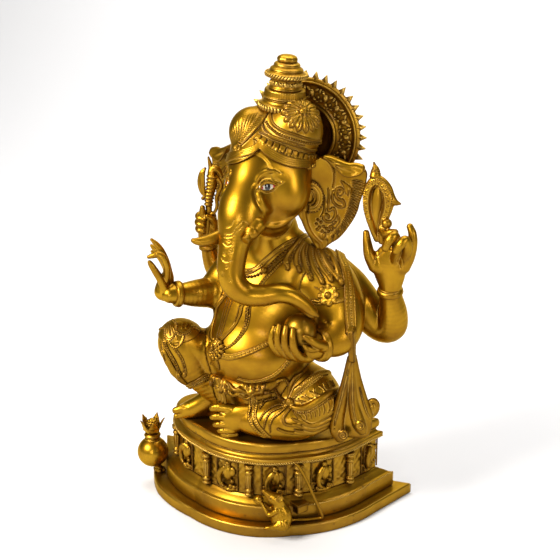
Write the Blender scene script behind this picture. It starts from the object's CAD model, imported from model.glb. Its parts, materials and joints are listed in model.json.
"""The looks of a cast brass statue: a seated, four-armed, elephant-headed deity on a tiered plinth.

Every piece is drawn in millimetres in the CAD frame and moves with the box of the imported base
slab. Bodies, limbs and cloth are solid forms, sampled and meshed; the turned work, the tiers of
the plinth and the rim's rope are built as plain meshes."""

import json
import math
from concurrent.futures import ThreadPoolExecutor

import bmesh
import bpy
import numpy as np
import openvdb
from mathutils import Euler, Matrix, Vector

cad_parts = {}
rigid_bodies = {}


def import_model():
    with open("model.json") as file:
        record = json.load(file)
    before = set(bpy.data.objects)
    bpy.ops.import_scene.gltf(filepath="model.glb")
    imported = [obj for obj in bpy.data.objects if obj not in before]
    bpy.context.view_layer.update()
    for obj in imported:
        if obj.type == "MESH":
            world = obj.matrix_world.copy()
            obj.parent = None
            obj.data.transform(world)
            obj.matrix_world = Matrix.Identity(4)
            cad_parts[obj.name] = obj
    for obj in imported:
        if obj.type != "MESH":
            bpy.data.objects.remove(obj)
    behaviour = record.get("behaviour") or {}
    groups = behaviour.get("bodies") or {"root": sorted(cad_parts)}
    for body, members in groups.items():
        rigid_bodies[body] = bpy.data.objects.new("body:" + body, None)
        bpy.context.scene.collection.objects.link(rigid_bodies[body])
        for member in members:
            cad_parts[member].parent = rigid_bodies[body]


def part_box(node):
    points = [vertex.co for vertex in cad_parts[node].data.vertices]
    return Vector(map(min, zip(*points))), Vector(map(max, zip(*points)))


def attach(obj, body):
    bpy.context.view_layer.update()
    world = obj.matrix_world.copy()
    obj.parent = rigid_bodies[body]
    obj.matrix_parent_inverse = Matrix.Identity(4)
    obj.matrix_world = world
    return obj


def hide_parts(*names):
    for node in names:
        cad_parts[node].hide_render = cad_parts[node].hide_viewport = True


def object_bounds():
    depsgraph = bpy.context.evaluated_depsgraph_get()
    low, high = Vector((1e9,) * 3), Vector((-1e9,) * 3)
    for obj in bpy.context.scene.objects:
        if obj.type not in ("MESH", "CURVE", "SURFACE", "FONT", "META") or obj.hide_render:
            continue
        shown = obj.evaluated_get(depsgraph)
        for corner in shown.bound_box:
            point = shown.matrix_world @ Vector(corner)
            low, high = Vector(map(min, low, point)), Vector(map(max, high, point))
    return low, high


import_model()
CAD_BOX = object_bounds()

MM = 0.001
COARSER = 1.0


# ---------------------------------------------------------------- camera, floor, light
CAMERA_AT = (0.4816, -1.2916, 0.780)
CAMERA_LOOKS = (-0.31461, 0.89388, -0.31937)
CAMERA_LENS = 73.93
SENSOR = 36.0


def add_camera():
    """The camera that frames the whole statue."""
    data = bpy.data.cameras.new("camera")
    data.lens, data.sensor_width, data.sensor_height = CAMERA_LENS, SENSOR, SENSOR
    data.clip_end = 50
    ob = bpy.data.objects.new("camera", data)
    bpy.context.scene.collection.objects.link(ob)
    ob.location = CAMERA_AT
    ob.rotation_euler = Vector(CAMERA_LOOKS).to_track_quat("-Z", "Y").to_euler()
    bpy.context.scene.camera = ob


# The floor in metres: half its width, where it starts to rise, the radius of the bend, its top
FLOOR_HALF, FLOOR_BACK, FLOOR_BEND, FLOOR_TOP = 7.0, 1.5, 1.2, 4.0


def add_floor():
    """A plain pale floor that sweeps up behind the object."""
    z = CAD_BOX[0][2] - 0.0002
    section = [(-FLOOR_HALF, z), (FLOOR_BACK, z)]
    for q in np.linspace(0.1, math.pi / 2, 14):
        section.append((FLOOR_BACK + FLOOR_BEND * math.sin(q), z + FLOOR_BEND - FLOOR_BEND * math.cos(q)))
    section.append((FLOOR_BACK + FLOOR_BEND, FLOOR_TOP))
    points = [(x, y, h) for y, h in section for x in (-FLOOR_HALF, FLOOR_HALF)]
    me = bpy.data.meshes.new("floor")
    me.from_pydata(points, [], [(i, i + 1, i + 3, i + 2) for i in range(0, len(points) - 2, 2)])
    for face in me.polygons:
        face.use_smooth = True
    ob = bpy.data.objects.new("floor", me)
    bpy.context.scene.collection.objects.link(ob)
    mat = bpy.data.materials.new("floor_pale")
    mat.use_nodes = True
    shader = mat.node_tree.nodes["Principled BSDF"]
    shader.inputs["Base Color"].default_value = (0.66, 0.66, 0.67, 1)
    shader.inputs["Roughness"].default_value = 0.9
    me.materials.append(mat)


def add_area_light(name, at, target, size, watts, colour):
    """A rectangular lamp that faces a target."""
    data = bpy.data.lights.new(name, "AREA")
    data.shape = "RECTANGLE"
    data.size, data.size_y = size
    data.energy, data.color = watts, colour
    ob = bpy.data.objects.new(name, data)
    bpy.context.scene.collection.objects.link(ob)
    ob.location = at
    ob.rotation_euler = (Vector(target) - Vector(at)).to_track_quat("-Z", "Y").to_euler()


def add_light():
    """A dim studio with one key lamp, small highlights and a lit backdrop."""
    world = bpy.data.worlds.new("studio")
    world.use_nodes = True
    back = world.node_tree.nodes["Background"]
    back.inputs["Color"].default_value = (1.0, 0.99, 0.96, 1)
    back.inputs["Strength"].default_value = 0.12
    bpy.context.scene.world = world
    # Name, place, what it faces, size, watts, colour
    middle = (0.0, 0.0, 0.3)
    add_area_light("key", (-1.0, -1.3, 1.5), middle, (0.75, 0.75), 70, (1.0, 0.97, 0.92))
    add_area_light("side", (1.5, -0.7, 0.8), middle, (0.25, 0.9), 9, (1.0, 0.94, 0.86))
    add_area_light("front", (0.35, -1.9, 0.75), middle, (0.35, 0.35), 9, (1.0, 0.97, 0.93))
    add_area_light("top", (0.0, 0.7, 2.6), (0.0, 0.7, 0.0), (2.6, 1.6), 62, (1.0, 0.99, 0.97))
    add_area_light("sweep", (0.0, 0.9, 2.2), (-0.4, 2.7, 0.8), (2.4, 0.5), 46, (1.0, 1.0, 1.0))
    bpy.context.scene.view_settings.view_transform = "Standard"


add_camera()
add_floor()
add_light()


# ---------------------------------------------------------------- finishes
class Nodes:
    """A short way to write a material's node tree."""

    def __init__(self, name):
        self.mat = bpy.data.materials.new(name)
        self.mat.use_nodes = True
        self.tree = self.mat.node_tree
        self.shader = self.tree.nodes["Principled BSDF"]

    def link(self, source, node, socket):
        self.tree.links.new(source, node.inputs[socket])

    def new(self, kind, **settings):
        node = self.tree.nodes.new(kind)
        for key, value in settings.items():
            setattr(node, key, value)
        return node

    def pattern(self, kind, scale):
        """A texture over the piece's own coordinates, in metres."""
        coord = self.new("ShaderNodeTexCoord")
        node = self.new(kind)
        node.inputs["Scale"].default_value = scale
        self.link(coord.outputs["Object"], node, "Vector")
        return node

    def noise(self, scale, detail):
        node = self.pattern("ShaderNodeTexNoise", scale)
        node.inputs["Detail"].default_value = detail
        node.inputs["Roughness"].default_value = 0.55
        return node.outputs["Fac"]

    def shade(self, reach_mm, samples):
        """How open a point is, from 0 in a deep recess to 1."""
        node = self.new("ShaderNodeAmbientOcclusion", samples=samples, only_local=False)
        node.inputs["Distance"].default_value = reach_mm * MM
        return node.outputs["AO"]

    def ramp(self, source, *stops):
        """Maps source through stops of place and colour or grey value."""
        node = self.new("ShaderNodeValToRGB")
        while len(node.color_ramp.elements) < len(stops):
            node.color_ramp.elements.new(0.5)
        for element, (at, colour) in zip(node.color_ramp.elements, stops):
            element.position = at
            element.color = (*colour, 1) if isinstance(colour, tuple) else (colour,) * 3 + (1,)
        self.link(source, node, "Fac")
        return node.outputs["Color"]

    def math(self, how, a, b):
        node = self.new("ShaderNodeMath", operation=how)
        for i, v in enumerate((a, b)):
            if isinstance(v, (int, float)):
                node.inputs[i].default_value = v
            else:
                self.tree.links.new(v, node.inputs[i])
        return node.outputs[0]

    def mix(self, fac, a, b):
        node = self.new("ShaderNodeMix", data_type="RGBA", blend_type="MIX")
        for socket, v in zip((node.inputs[0], node.inputs[6], node.inputs[7]), (fac, a, b)):
            if isinstance(v, (int, float)):
                socket.default_value = v
            elif isinstance(v, tuple):
                socket.default_value = (*v, 1)
            else:
                self.tree.links.new(v, socket)
        return node.outputs[2]


SHADE_REACH_MM = 60.0
BUMP_HEIGHT = 0.0006
WORN_BRASS = (0.86, 0.60, 0.16)
WAX_LIGHT, WAX_DARK = (0.075, 0.030, 0.004), (0.13, 0.06, 0.008)
PIT_FLOOR = (0.05, 0.03, 0.012)


def brass(name, bright, deep, shine, patina=0.7, grain=1.0, pits=0.0, crease_mm=7.0):
    """Polished brass with dark wax and tarnish left in its recesses."""
    n = Nodes(name)
    # Wax in creases and grooves, wear on edges
    recess = n.ramp(n.shade(crease_mm, 6), (0.25, 1.0), (0.86, 0.0))
    point = n.new("ShaderNodeNewGeometry").outputs["Pointiness"]
    groove = n.ramp(point, (0.455, 1.0), (0.497, 0.0))
    worn = n.ramp(point, (0.505, 0.0), (0.56, 1.0))
    dirt = n.math("MAXIMUM", recess, groove)
    # Dull brass where the cloth gets to rarely: deep between the limbs and on undersides
    hidden = n.ramp(n.shade(SHADE_REACH_MM, 4), (0.15, 1.0), (0.8, 0.0))
    split = n.new("ShaderNodeSeparateXYZ")
    n.link(n.new("ShaderNodeNewGeometry").outputs["Normal"], split, "Vector")
    facing_up = n.math("ADD", n.math("MULTIPLY", split.outputs["Z"], 0.5), 0.5)
    under = n.ramp(facing_up, (0.1, 0.7), (0.42, 0.0))
    hidden = n.math("MULTIPLY", n.math("MAXIMUM", hidden, under), 0.62)
    blotch = n.noise(28, 5)
    fine = n.noise(420, 3)
    dirt = n.math("MULTIPLY", dirt, n.ramp(blotch, (0.2, 0.72), (0.7, 1.0)))
    dirt = n.math("MULTIPLY", dirt, patina)
    body = n.mix(n.ramp(blotch, (0.35, 0.0), (0.72, 1.0)), bright, deep)
    body = n.mix(n.math("MULTIPLY", worn, 0.35), body, WORN_BRASS)
    dark = n.mix(n.ramp(fine, (0.4, 0.0), (0.65, 1.0)), WAX_LIGHT, WAX_DARK)
    body = n.mix(hidden, body, tuple(c * d for c, d in zip(deep, (0.42, 0.33, 0.25))))
    colour = n.mix(dirt, body, dark)
    rough = n.math("ADD", shine, n.math("MULTIPLY", dirt, 0.3))
    rough = n.math("ADD", rough, n.math("MULTIPLY", n.ramp(blotch, (0.4, 0.0), (0.7, 1.0)), 0.09))
    height = n.math("MULTIPLY", fine, 0.35)
    height = n.math("ADD", height, n.noise(90, 4))
    if pits:
        spots = n.pattern("ShaderNodeTexVoronoi", 95)
        pit = n.ramp(spots.outputs["Distance"], (0.05, 1.0), (0.22, 0.0))
        pit = n.math("MULTIPLY", pit, n.ramp(n.noise(24, 3), (0.5, 0.0), (0.62, 1.0)))
        pit = n.math("MULTIPLY", pit, pits)
        colour = n.mix(n.math("MULTIPLY", pit, 0.9), colour, PIT_FLOOR)
        height = n.math("SUBTRACT", height, n.math("MULTIPLY", pit, 2.0))
        rough = n.math("ADD", rough, n.math("MULTIPLY", pit, 0.25))
    n.link(colour, n.shader, "Base Color")
    n.link(rough, n.shader, "Roughness")
    bump = n.new("ShaderNodeBump")
    bump.inputs["Strength"].default_value = 0.22 * grain
    bump.inputs["Distance"].default_value = BUMP_HEIGHT
    n.link(height, bump, "Height")
    n.link(bump.outputs["Normal"], n.shader, "Normal")
    n.shader.inputs["Metallic"].default_value = 1.0
    n.shader.inputs["Specular Tint"].default_value = (1.0, 0.82, 0.36, 1)
    n.shader.inputs["Coat Weight"].default_value = 0.12
    n.shader.inputs["Coat Roughness"].default_value = 0.24
    return n.mat


def plain(name, colour, rough, metal=0.0, coat=0.0):
    """A plain material with slightly uneven colour and gloss."""
    n = Nodes(name)
    tint = n.mix(n.ramp(n.noise(300, 3), (0.3, 0.0), (0.7, 1.0)), colour,
                 tuple(c * 0.75 for c in colour))
    n.link(tint, n.shader, "Base Color")
    n.link(n.ramp(n.noise(150, 3), (0.3, rough * 0.8), (0.7, rough * 1.2)), n.shader, "Roughness")
    n.shader.inputs["Metallic"].default_value = metal
    n.shader.inputs["Coat Weight"].default_value = coat
    return n.mat


GOLD = brass("brass_skin", (0.42, 0.222, 0.008), (0.27, 0.122, 0.004), shine=0.32, grain=0.5)
ORNAMENT = brass("brass_ornament", (0.41, 0.215, 0.009), (0.25, 0.116, 0.005), shine=0.34,
                 patina=0.95, crease_mm=5.0)
CLOTH = brass("brass_cloth", (0.36, 0.186, 0.008), (0.21, 0.096, 0.004), shine=0.36, patina=0.95,
              crease_mm=6.0)
PLINTH = brass("brass_plinth", (0.38, 0.198, 0.009), (0.23, 0.108, 0.006), shine=0.36, patina=0.9,
               grain=1.3, pits=0.8, crease_mm=9.0)
RELIEF = brass("brass_relief", (0.39, 0.206, 0.010), (0.23, 0.112, 0.006), shine=0.32, patina=1.0,
               grain=1.6, crease_mm=6.0)
IRON = plain("iron", (0.28, 0.27, 0.26), 0.45, metal=1.0)
EYE_WHITE = plain("eye_white", (0.74, 0.66, 0.50), 0.3, coat=0.4)
EYE_BLACK = plain("eye_black", (0.015, 0.013, 0.012), 0.12, coat=0.8)
EYE_RED = plain("eye_red", (0.55, 0.015, 0.012), 0.25, coat=0.4)


# ---------------------------------------------------------------- solid forms
# A form is a list of blended shapes. Each shape gives, for points in millimetres, the distance to
# its surface, negative inside. Forms are sampled on a grid near their surface and meshed.
FAR = 1e3


def unit(v):
    """The direction of v with length one."""
    v = np.asarray(v, float)
    return v / (np.linalg.norm(v) + 1e-12)


def curve_between(a, b, c, d, t):
    """Points of a smooth curve from b to c at the fractions t; a and d are the points beside."""
    return 0.5 * (2 * b + (c - a) * t + (2 * a - 5 * b + 4 * c - d) * t**2
                  + (3 * b - a - 3 * c + d) * t**3)


def spline(points, steps):
    """A smooth curve through the points, with this many steps between two of them."""
    p = np.asarray(points, float)
    if steps < 2 or len(p) < 3:
        return p
    q = np.vstack([2 * p[0] - p[1], p, 2 * p[-1] - p[-2]])
    t = np.linspace(0, 1, steps, endpoint=False)[:, None]
    runs = [curve_between(a, b, c, d, t) for a, b, c, d in zip(q, q[1:], q[2:], q[3:])]
    return np.vstack([*runs, p[-1:]])


def closed_spline(points, steps):
    """A smooth closed curve through the points; the last point isn't repeated."""
    p = np.asarray(points, float)
    t = np.linspace(0, 1, steps, endpoint=False)[:, None]
    runs = zip(np.roll(p, 1, 0), p, np.roll(p, -1, 0), np.roll(p, -2, 0))
    return np.vstack([curve_between(a, b, c, d, t) for a, b, c, d in runs])


def overlaps(lo, hi, a, b):
    """Whether the boxes lo to hi and a to b meet."""
    return not (np.any(a > hi) or np.any(b < lo))


def tube(points, radius, steps=4):
    """A round rod through x, y, z points of one radius, or through x, y, z, r points."""
    p = np.asarray(points, float)
    if p.shape[1] == 3:
        p = np.column_stack([p, np.full(len(p), float(radius))])
    s = spline(p, steps).astype(np.float32)
    low = np.minimum(s[:-1, :3], s[1:, :3]) - np.maximum(s[:-1, 3], s[1:, 3])[:, None]
    high = np.maximum(s[:-1, :3], s[1:, :3]) + np.maximum(s[:-1, 3], s[1:, 3])[:, None]

    def fn(P, lo, hi, reach):
        best = np.full(P.shape[1], FAR, np.float32)
        for a, b, u, v in zip(s[:-1], s[1:], low, high):
            if not overlaps(lo, hi, u - reach, v + reach):
                continue
            e = b[:3] - a[:3]
            x, y, z = P[0] - a[0], P[1] - a[1], P[2] - a[2]
            t = np.clip((x * e[0] + y * e[1] + z * e[2]) / (e @ e + 1e-9), 0, 1)
            x -= t * e[0]
            y -= t * e[1]
            z -= t * e[2]
            np.minimum(best, np.sqrt(x * x + y * y + z * z) - (a[3] + (b[3] - a[3]) * t), out=best)
        return best

    return fn, low.min(0), high.max(0)


def loft(stations, up=(0, 0, 1), steps=4):
    """A limb with oval sections: x, y, z, half width across, half height towards up."""
    s = spline(stations, steps)
    up = np.asarray(up, float)
    segments = []
    for a, b in zip(s[:-1], s[1:]):
        along = unit(b[:3] - a[:3])
        side = unit(np.cross(along, up))
        segments.append((a, b, along, side, np.cross(side, along)))
    pad = s[:, 3:5].max(1)[:, None]
    lows, highs = s[:, :3] - pad, s[:, :3] + pad

    def fn(P, lo, hi, reach):
        best = np.full(P.shape[1], FAR, np.float32)
        for i, (a, b, along, side, top) in enumerate(segments):
            u, v = np.minimum(lows[i], lows[i + 1]), np.maximum(highs[i], highs[i + 1])
            if not overlaps(lo, hi, u - reach, v + reach):
                continue
            x, y, z = (P[j] - np.float32(a[j]) for j in range(3))
            length = np.linalg.norm(b[:3] - a[:3])
            w = x * along[0] + y * along[1] + z * along[2]
            t = np.clip(w / length, 0, 1).astype(np.float32)
            w = w - t * length
            p = x * side[0] + y * side[1] + z * side[2]
            q = x * top[0] + y * top[1] + z * top[2]
            ra, rb = a[3] + (b[3] - a[3]) * t, a[4] + (b[4] - a[4]) * t
            rc = np.minimum(ra, rb)
            k0 = np.sqrt((p / ra) ** 2 + (q / rb) ** 2 + (w / rc) ** 2) + 1e-6
            k1 = np.sqrt((p / ra**2) ** 2 + (q / rb**2) ** 2 + (w / rc**2) ** 2) + 1e-6
            np.minimum(best, k0 * (k0 - 1) / k1, out=best)
        return best

    return fn, lows.min(0), highs.max(0)


def turned(angles):
    """A rotation matrix from angles about x, then y, then z, in degrees."""
    return np.array(Euler([math.radians(a) for a in angles]).to_matrix())


def ovoid(centre, radii, angles=(0, 0, 0)):
    """A ball or an ellipsoid, turned by angles in degrees."""
    c = np.asarray(centre, float)
    r = np.ones(3) * np.asarray(radii, float)
    m = turned(angles)
    pad = np.abs(m) @ r

    def fn(P, lo, hi, reach):
        q = m.T.astype(np.float32) @ (P - c[:, None].astype(np.float32))
        k0 = np.sqrt(((q / r[:, None].astype(np.float32)) ** 2).sum(0)) + 1e-6
        k1 = np.sqrt(((q / (r**2)[:, None].astype(np.float32)) ** 2).sum(0)) + 1e-6
        return k0 * (k0 - 1) / k1

    return fn, c - pad, c + pad


def hoop(centre, axis, radius, thick):
    """A ring about an axis."""
    c, n = np.asarray(centre, np.float32), unit(axis).astype(np.float32)
    pad = radius * np.sqrt(np.clip(1 - n**2, 0, 1)) + thick

    def fn(P, lo, hi, reach):
        q = P - c[:, None]
        h = n @ q
        r = np.sqrt(np.maximum((q * q).sum(0) - h * h, 0))
        return np.sqrt((r - radius) ** 2 + h * h) - thick

    return fn, c - pad, c + pad


def disc(centre, axis, radius, half, edge=1.0):
    """A flat round plate about an axis with a rounded edge."""
    c, n = np.asarray(centre, np.float32), unit(axis).astype(np.float32)
    pad = radius * np.sqrt(np.clip(1 - n**2, 0, 1)) + half * np.abs(n) + 0.1

    def fn(P, lo, hi, reach):
        q = P - c[:, None]
        h = n @ q
        r = np.sqrt(np.maximum((q * q).sum(0) - h * h, 0))
        a, b = r - radius + edge, np.abs(h) - half + edge
        return np.minimum(np.maximum(a, b), 0) + np.hypot(np.maximum(a, 0), np.maximum(b, 0)) - edge

    return fn, c - pad, c + pad


def block(centre, half, axes=None, edge=1.0):
    """A rounded box; axes are the rows x, y, z of its own frame."""
    c, h = np.asarray(centre, np.float32), np.asarray(half, np.float32)
    m = np.eye(3) if axes is None else np.array([unit(a) for a in axes])
    m = m.astype(np.float32)
    pad = np.abs(m.T) @ h

    def fn(P, lo, hi, reach):
        q = np.abs(m @ (P - c[:, None])) - h[:, None] + edge
        out = np.sqrt((np.maximum(q, 0) ** 2).sum(0))
        return out + np.minimum(q.max(0), 0) - edge

    return fn, c - pad, c + pad


def beads(points, radius):
    """Small balls at the points; radius is one number or one for each point."""
    p = np.asarray(points, np.float32)[:, :3]
    r = np.broadcast_to(np.asarray(radius, np.float32), (len(p),))

    def fn(P, lo, hi, reach):
        best = np.full(P.shape[1], FAR, np.float32)
        for c, s in zip(p, r):
            if not overlaps(lo, hi, c - s - reach, c + s + reach):
                continue
            x, y, z = P[0] - c[0], P[1] - c[1], P[2] - c[2]
            np.minimum(best, np.sqrt(x * x + y * y + z * z) - s, out=best)
        return best

    return fn, (p - r[:, None]).min(0), (p + r[:, None]).max(0)


def soft_min(a, b, k):
    """The smaller of two distances, with a fillet of size k where they are alike."""
    if k <= 0:
        return np.minimum(a, b)
    h = np.maximum(k - np.abs(a - b), 0) / k
    return np.minimum(a, b) - h * h * k * 0.25


class Form:
    """Shapes joined in order. blend is the size of the fillet where a shape meets the rest."""

    def __init__(self, *shapes):
        self.steps = []
        for s in shapes:
            self.add(s)

    def _put(self, kind, shape, blend):
        fn, lo, hi = shape if isinstance(shape, tuple) else shape.shape()
        self.steps.append((kind, blend, fn, np.asarray(lo, float), np.asarray(hi, float)))
        return self

    def add(self, shape, blend=0.0):
        return self._put("add", shape, blend)

    def cut(self, shape, blend=0.0):
        return self._put("cut", shape, blend)

    def keep(self, shape, blend=0.0):
        return self._put("keep", shape, blend)

    def wave(self, fn, lo, hi):
        """Moves the surface outwards by fn(points), inside a box."""
        self.steps.append(("wave", 0.0, fn, np.asarray(lo, float), np.asarray(hi, float)))
        return self

    def copy(self):
        """The same steps in a new form, so that the first stays as it is."""
        f = Form()
        f.steps = list(self.steps)
        return f

    def box(self):
        """A box that holds the surface; it follows the steps in their order."""
        lo = np.full(3, FAR)
        hi = -lo
        for kind, blend, _, a, b in self.steps:
            if kind == "add":
                lo, hi = np.minimum(lo, a - blend * 0.25), np.maximum(hi, b + blend * 0.25)
            elif kind == "keep":
                lo, hi = np.maximum(lo, a), np.minimum(hi, b)
        return lo, hi

    def shape(self):
        """The form as one shape: its distance function and its box."""
        lo, hi = self.box()
        return (lambda P, a, b, reach: self.value(P, a, b, reach)), lo, hi

    def value(self, P, lo, hi, reach):
        """The distance at points P in the box lo to hi, true up to reach and only large beyond."""
        d = np.full(P.shape[1], FAR, np.float32)
        for kind, blend, fn, a, b in self.steps:
            far = reach + blend
            if not overlaps(lo, hi, a - far, b + far):
                if kind == "keep":
                    d[:] = FAR
                continue
            if np.all(lo >= a - far) and np.all(hi <= b + far):
                pick, Q = slice(None), P
            else:
                pick = np.flatnonzero(
                    np.all((P >= (a - far)[:, None]) & (P <= (b + far)[:, None]), axis=0))
                if kind == "keep":
                    rest = np.ones(P.shape[1], bool)
                    rest[pick] = False
                    d[rest] = FAR
                if not len(pick):
                    continue
                Q = P[:, pick]
            if kind == "wave":
                d[pick] -= fn(Q)
                continue
            e = fn(Q, Q.min(1), Q.max(1), far)
            if kind == "add":
                d[pick] = soft_min(d[pick], e, blend)
            elif kind == "cut":
                d[pick] = -soft_min(-d[pick], e, blend)
            else:
                d[pick] = -soft_min(-d[pick], -e, blend)
        return d

    def at(self, points, reach=FAR / 2):
        """The distance at a few points; shapes further off than reach are left out."""
        P = np.asarray(points, np.float32)[:, :3].T
        return self.value(np.ascontiguousarray(P), P.min(1), P.max(1), reach)


PROBE = 0.3 * np.vstack([np.zeros(3), np.eye(3), -np.eye(3)])


def on_surface(form, points, lift=0.0):
    """The points moved straight to the form's surface, plus lift, and the outward directions."""
    p = np.array(points, float)[:, :3]
    for _ in range(4):
        d = form.at((p[:, None] + PROBE).reshape(-1, 3), 40).reshape(-1, 7)
        g = d[:, 1:4] - d[:, 4:]
        g /= np.linalg.norm(g, axis=1)[:, None] + 1e-9
        p -= np.clip(d[:, 0] - lift, -8, 8)[:, None] * g
    return p, g


def along(path, gap):
    """Points at an even distance from each other along a dense path."""
    p = np.asarray(path, float)
    s = np.concatenate([[0], np.cumsum(np.linalg.norm(np.diff(p[:, :3], axis=0), axis=1))])
    n = max(2, int(round(s[-1] / gap)) + 1)
    at = np.linspace(0.0, s[-1], n)
    return np.stack([np.interp(at, s, p[:, i]) for i in range(p.shape[1])], 1)


# ---------------------------------------------------------------- from form to mesh
# Grid cells along the side of a block, blocks valued together, and block centres valued together
BLOCK, BLOCKS_AT_ONCE, CENTRES_AT_ONCE = 8, 32, 4096


def sample_form(form, step):
    """Samples the form close to its surface and returns its skin: points in mm and four-sided
    faces. It uses numpy and OpenVDB only, so that several forms can be sampled at once."""
    lo, hi = form.box()
    lo, hi = lo - 3 * step, hi + 3 * step
    side = BLOCK * step
    count = np.ceil((hi - lo) / side).astype(int)
    grid = np.stack(np.meshgrid(*[np.arange(n) for n in count], indexing="ij"), -1).reshape(-1, 3)
    centres = (lo + (grid + 0.5) * side - step / 2).astype(np.float32)
    reach = side * 0.87 + 2 * step
    d = np.empty(len(grid), np.float32)
    for i in range(0, len(grid), CENTRES_AT_ONCE):
        P = np.ascontiguousarray(centres[i:i + CENTRES_AT_ONCE].T)
        d[i:i + CENTRES_AT_ONCE] = form.value(P, P.min(1), P.max(1), reach + 2 * step)
    band = 3 * step
    volume = np.where(d.reshape(count) < 0, -band, band).astype(np.float32)
    for axis in range(3):
        volume = np.repeat(volume, BLOCK, axis)
    cell = np.stack(np.meshgrid(*[np.arange(BLOCK)] * 3, indexing="ij"), -1).reshape(-1, 3)
    active = grid[np.abs(d) < reach]
    for i in range(0, len(active), BLOCKS_AT_ONCE):
        blocks = active[i:i + BLOCKS_AT_ONCE]
        index = blocks[:, None] * BLOCK + cell[None]
        P = (lo + index.reshape(-1, 3) * step).astype(np.float32).T
        P = np.ascontiguousarray(P)
        v = np.clip(form.value(P, P.min(1), P.max(1), band), -band, band)
        at = index.reshape(-1, 3)
        volume[at[:, 0], at[:, 1], at[:, 2]] = v
    g = openvdb.FloatGrid(band)
    g.copyFromArray(volume)
    points, quads = g.convertToQuads(0.0)
    return lo + points * step, quads[:, ::-1]


def drop_crumbs(points, quads, least=60):
    """Leaves out separate scraps with fewer faces than least: every face takes the lowest point
    number that can be reached from it as its label."""
    n = len(points)
    root = np.arange(n)
    for _ in range(200):
        low = root[quads].min(1)
        new = root.copy()
        for c in range(4):
            np.minimum.at(new, quads[:, c], low)
        new = new[new]
        if np.array_equal(new, root):
            break
        root = new
    label = root[quads[:, 0]]
    _, inverse, size = np.unique(label, return_inverse=True, return_counts=True)
    return points, quads[size[inverse] >= least]


def make_mesh(name, points, faces):
    """A mesh object from points in mm and faces."""
    faces = [np.asarray(faces)] if isinstance(faces, np.ndarray) else faces
    used = np.unique(np.concatenate([f.ravel() for f in faces]))
    remap = np.zeros(len(points), np.int64)
    remap[used] = np.arange(len(used))
    me = bpy.data.meshes.new(name)
    me.vertices.add(len(used))
    me.vertices.foreach_set("co", (np.asarray(points)[used] * MM).astype(np.float32).ravel())
    sizes = np.concatenate([np.full(len(f), f.shape[1]) for f in faces])
    me.loops.add(int(sizes.sum()))
    me.polygons.add(len(sizes))
    loops = np.concatenate([remap[f].ravel() for f in faces]).astype(np.int32)
    me.loops.foreach_set("vertex_index", loops)
    starts = np.concatenate([[0], np.cumsum(sizes)[:-1]]).astype(np.int32)
    me.polygons.foreach_set("loop_start", starts)
    me.update(calc_edges=True)
    me.validate()
    me.polygons.foreach_set("use_smooth", np.full(len(sizes), True))
    ob = bpy.data.objects.new(name, me)
    bpy.context.scene.collection.objects.link(ob)
    return ob


# ---------------------------------------------------------------- pieces on the frame
# The pieces are drawn in mm round a base slab whose box has its middle here. All of them move
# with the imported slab, so that they stay on the frame and in line with each other.
SLAB_MIDDLE = np.array((-7.5, -1.0, 7.5))
SHIFT = np.array(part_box("base_slab")).mean(0) / MM - SLAB_MIDDLE


def place(ob, material, *nodes):
    """The piece takes its material, rides on the body and stands for its CAD nodes."""
    ob.data.materials.append(material)
    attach(ob, "root")
    if nodes:
        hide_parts(*nodes)


JOBS = []


def form_piece(name, form, material, *nodes, step=1.0, slot=None, crumbs=60):
    """Queues a form to be sampled; the pieces are made when all of them are ready."""
    JOBS.append((name, form, material, nodes, step * COARSER, slot, crumbs))


def run_jobs():
    """Samples every queued form and makes its piece, in the order of the queue."""
    with ThreadPoolExecutor(4) as pool:
        skins = list(pool.map(lambda job: sample_form(job[1], job[4]), JOBS))
    for (name, _, material, nodes, _, slot, crumbs), (points, quads) in zip(JOBS, skins):
        points, quads = drop_crumbs(points, quads, crumbs)
        ob = make_mesh(name, points + SHIFT, quads)
        place(ob, material, *nodes)
    JOBS.clear()


# ---------------------------------------------------------------- body and limbs
TORSO = Form(loft([
    (0, 6, 116, 58, 42), (-2, 8, 140, 64, 44), (-4, 4, 172, 66, 48), (-5, 0, 192, 66, 54),
    (-4, -2, 215, 66, 55), (0, -2, 250, 62, 52), (14, 2, 280, 64, 48), (23, 8, 310, 71, 40),
    (26, 10, 334, 68, 33), (26, 8, 352, 48, 30), (24, 2, 370, 31, 27), (22, 0, 390, 26, 24)],
                  up=(0, 1, 0), steps=8))
TORSO.add(ovoid((-1, -15, 229), (66, 52, 39)), 14)
RAISED_LEG = Form(tube([
    (-30, 20, 150, 32), (-42, 8, 164, 32), (-64, -16, 196, 30), (-84, -37, 228, 28.5),
    (-92, -45, 239, 27), (-92, -47, 232, 27), (-82, -41, 210, 25), (-68, -28, 182, 20),
    (-54, -14, 154, 14), (-48, -8, 142, 13)], 0, steps=5))
FOLDED_LEG = Form(loft([
    (20, 14, 166, 32, 36), (40, 8, 171, 36, 39), (62, -3, 171, 38, 40), (76, -9, 166, 34, 38),
    (84, -12, 160, 28, 32)], steps=4))
FOLDED_LEG.add(tube([
    (78, -20, 154, 26), (64, -32, 149, 28), (46, -40, 147, 26.5), (26, -44, 145, 23.5),
    (8, -45, 143, 20), (-10, -45, 141, 15)], 0, steps=4), 10)
FRONT_RIGHT_ARM = Form(loft([
    (-40, 10, 330, 21, 21), (-52, 4, 312, 20, 21), (-62, -12, 298, 18.5, 20),
    (-74, -31, 299.5, 16.5, 17.5), (-86, -45, 302, 13.5, 13.8), (-99, -56, 303, 11, 11)],
                            up=(0.1, 0.2, 1)))
REAR_RIGHT_ARM = Form(tube([
    (-40, 22, 324, 20), (-58, 29, 313, 19), (-71, 31, 316, 16), (-78, 29, 332, 12.5),
    (-80, 26, 350, 10), (-81, 24, 360, 9)], 0))
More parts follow.
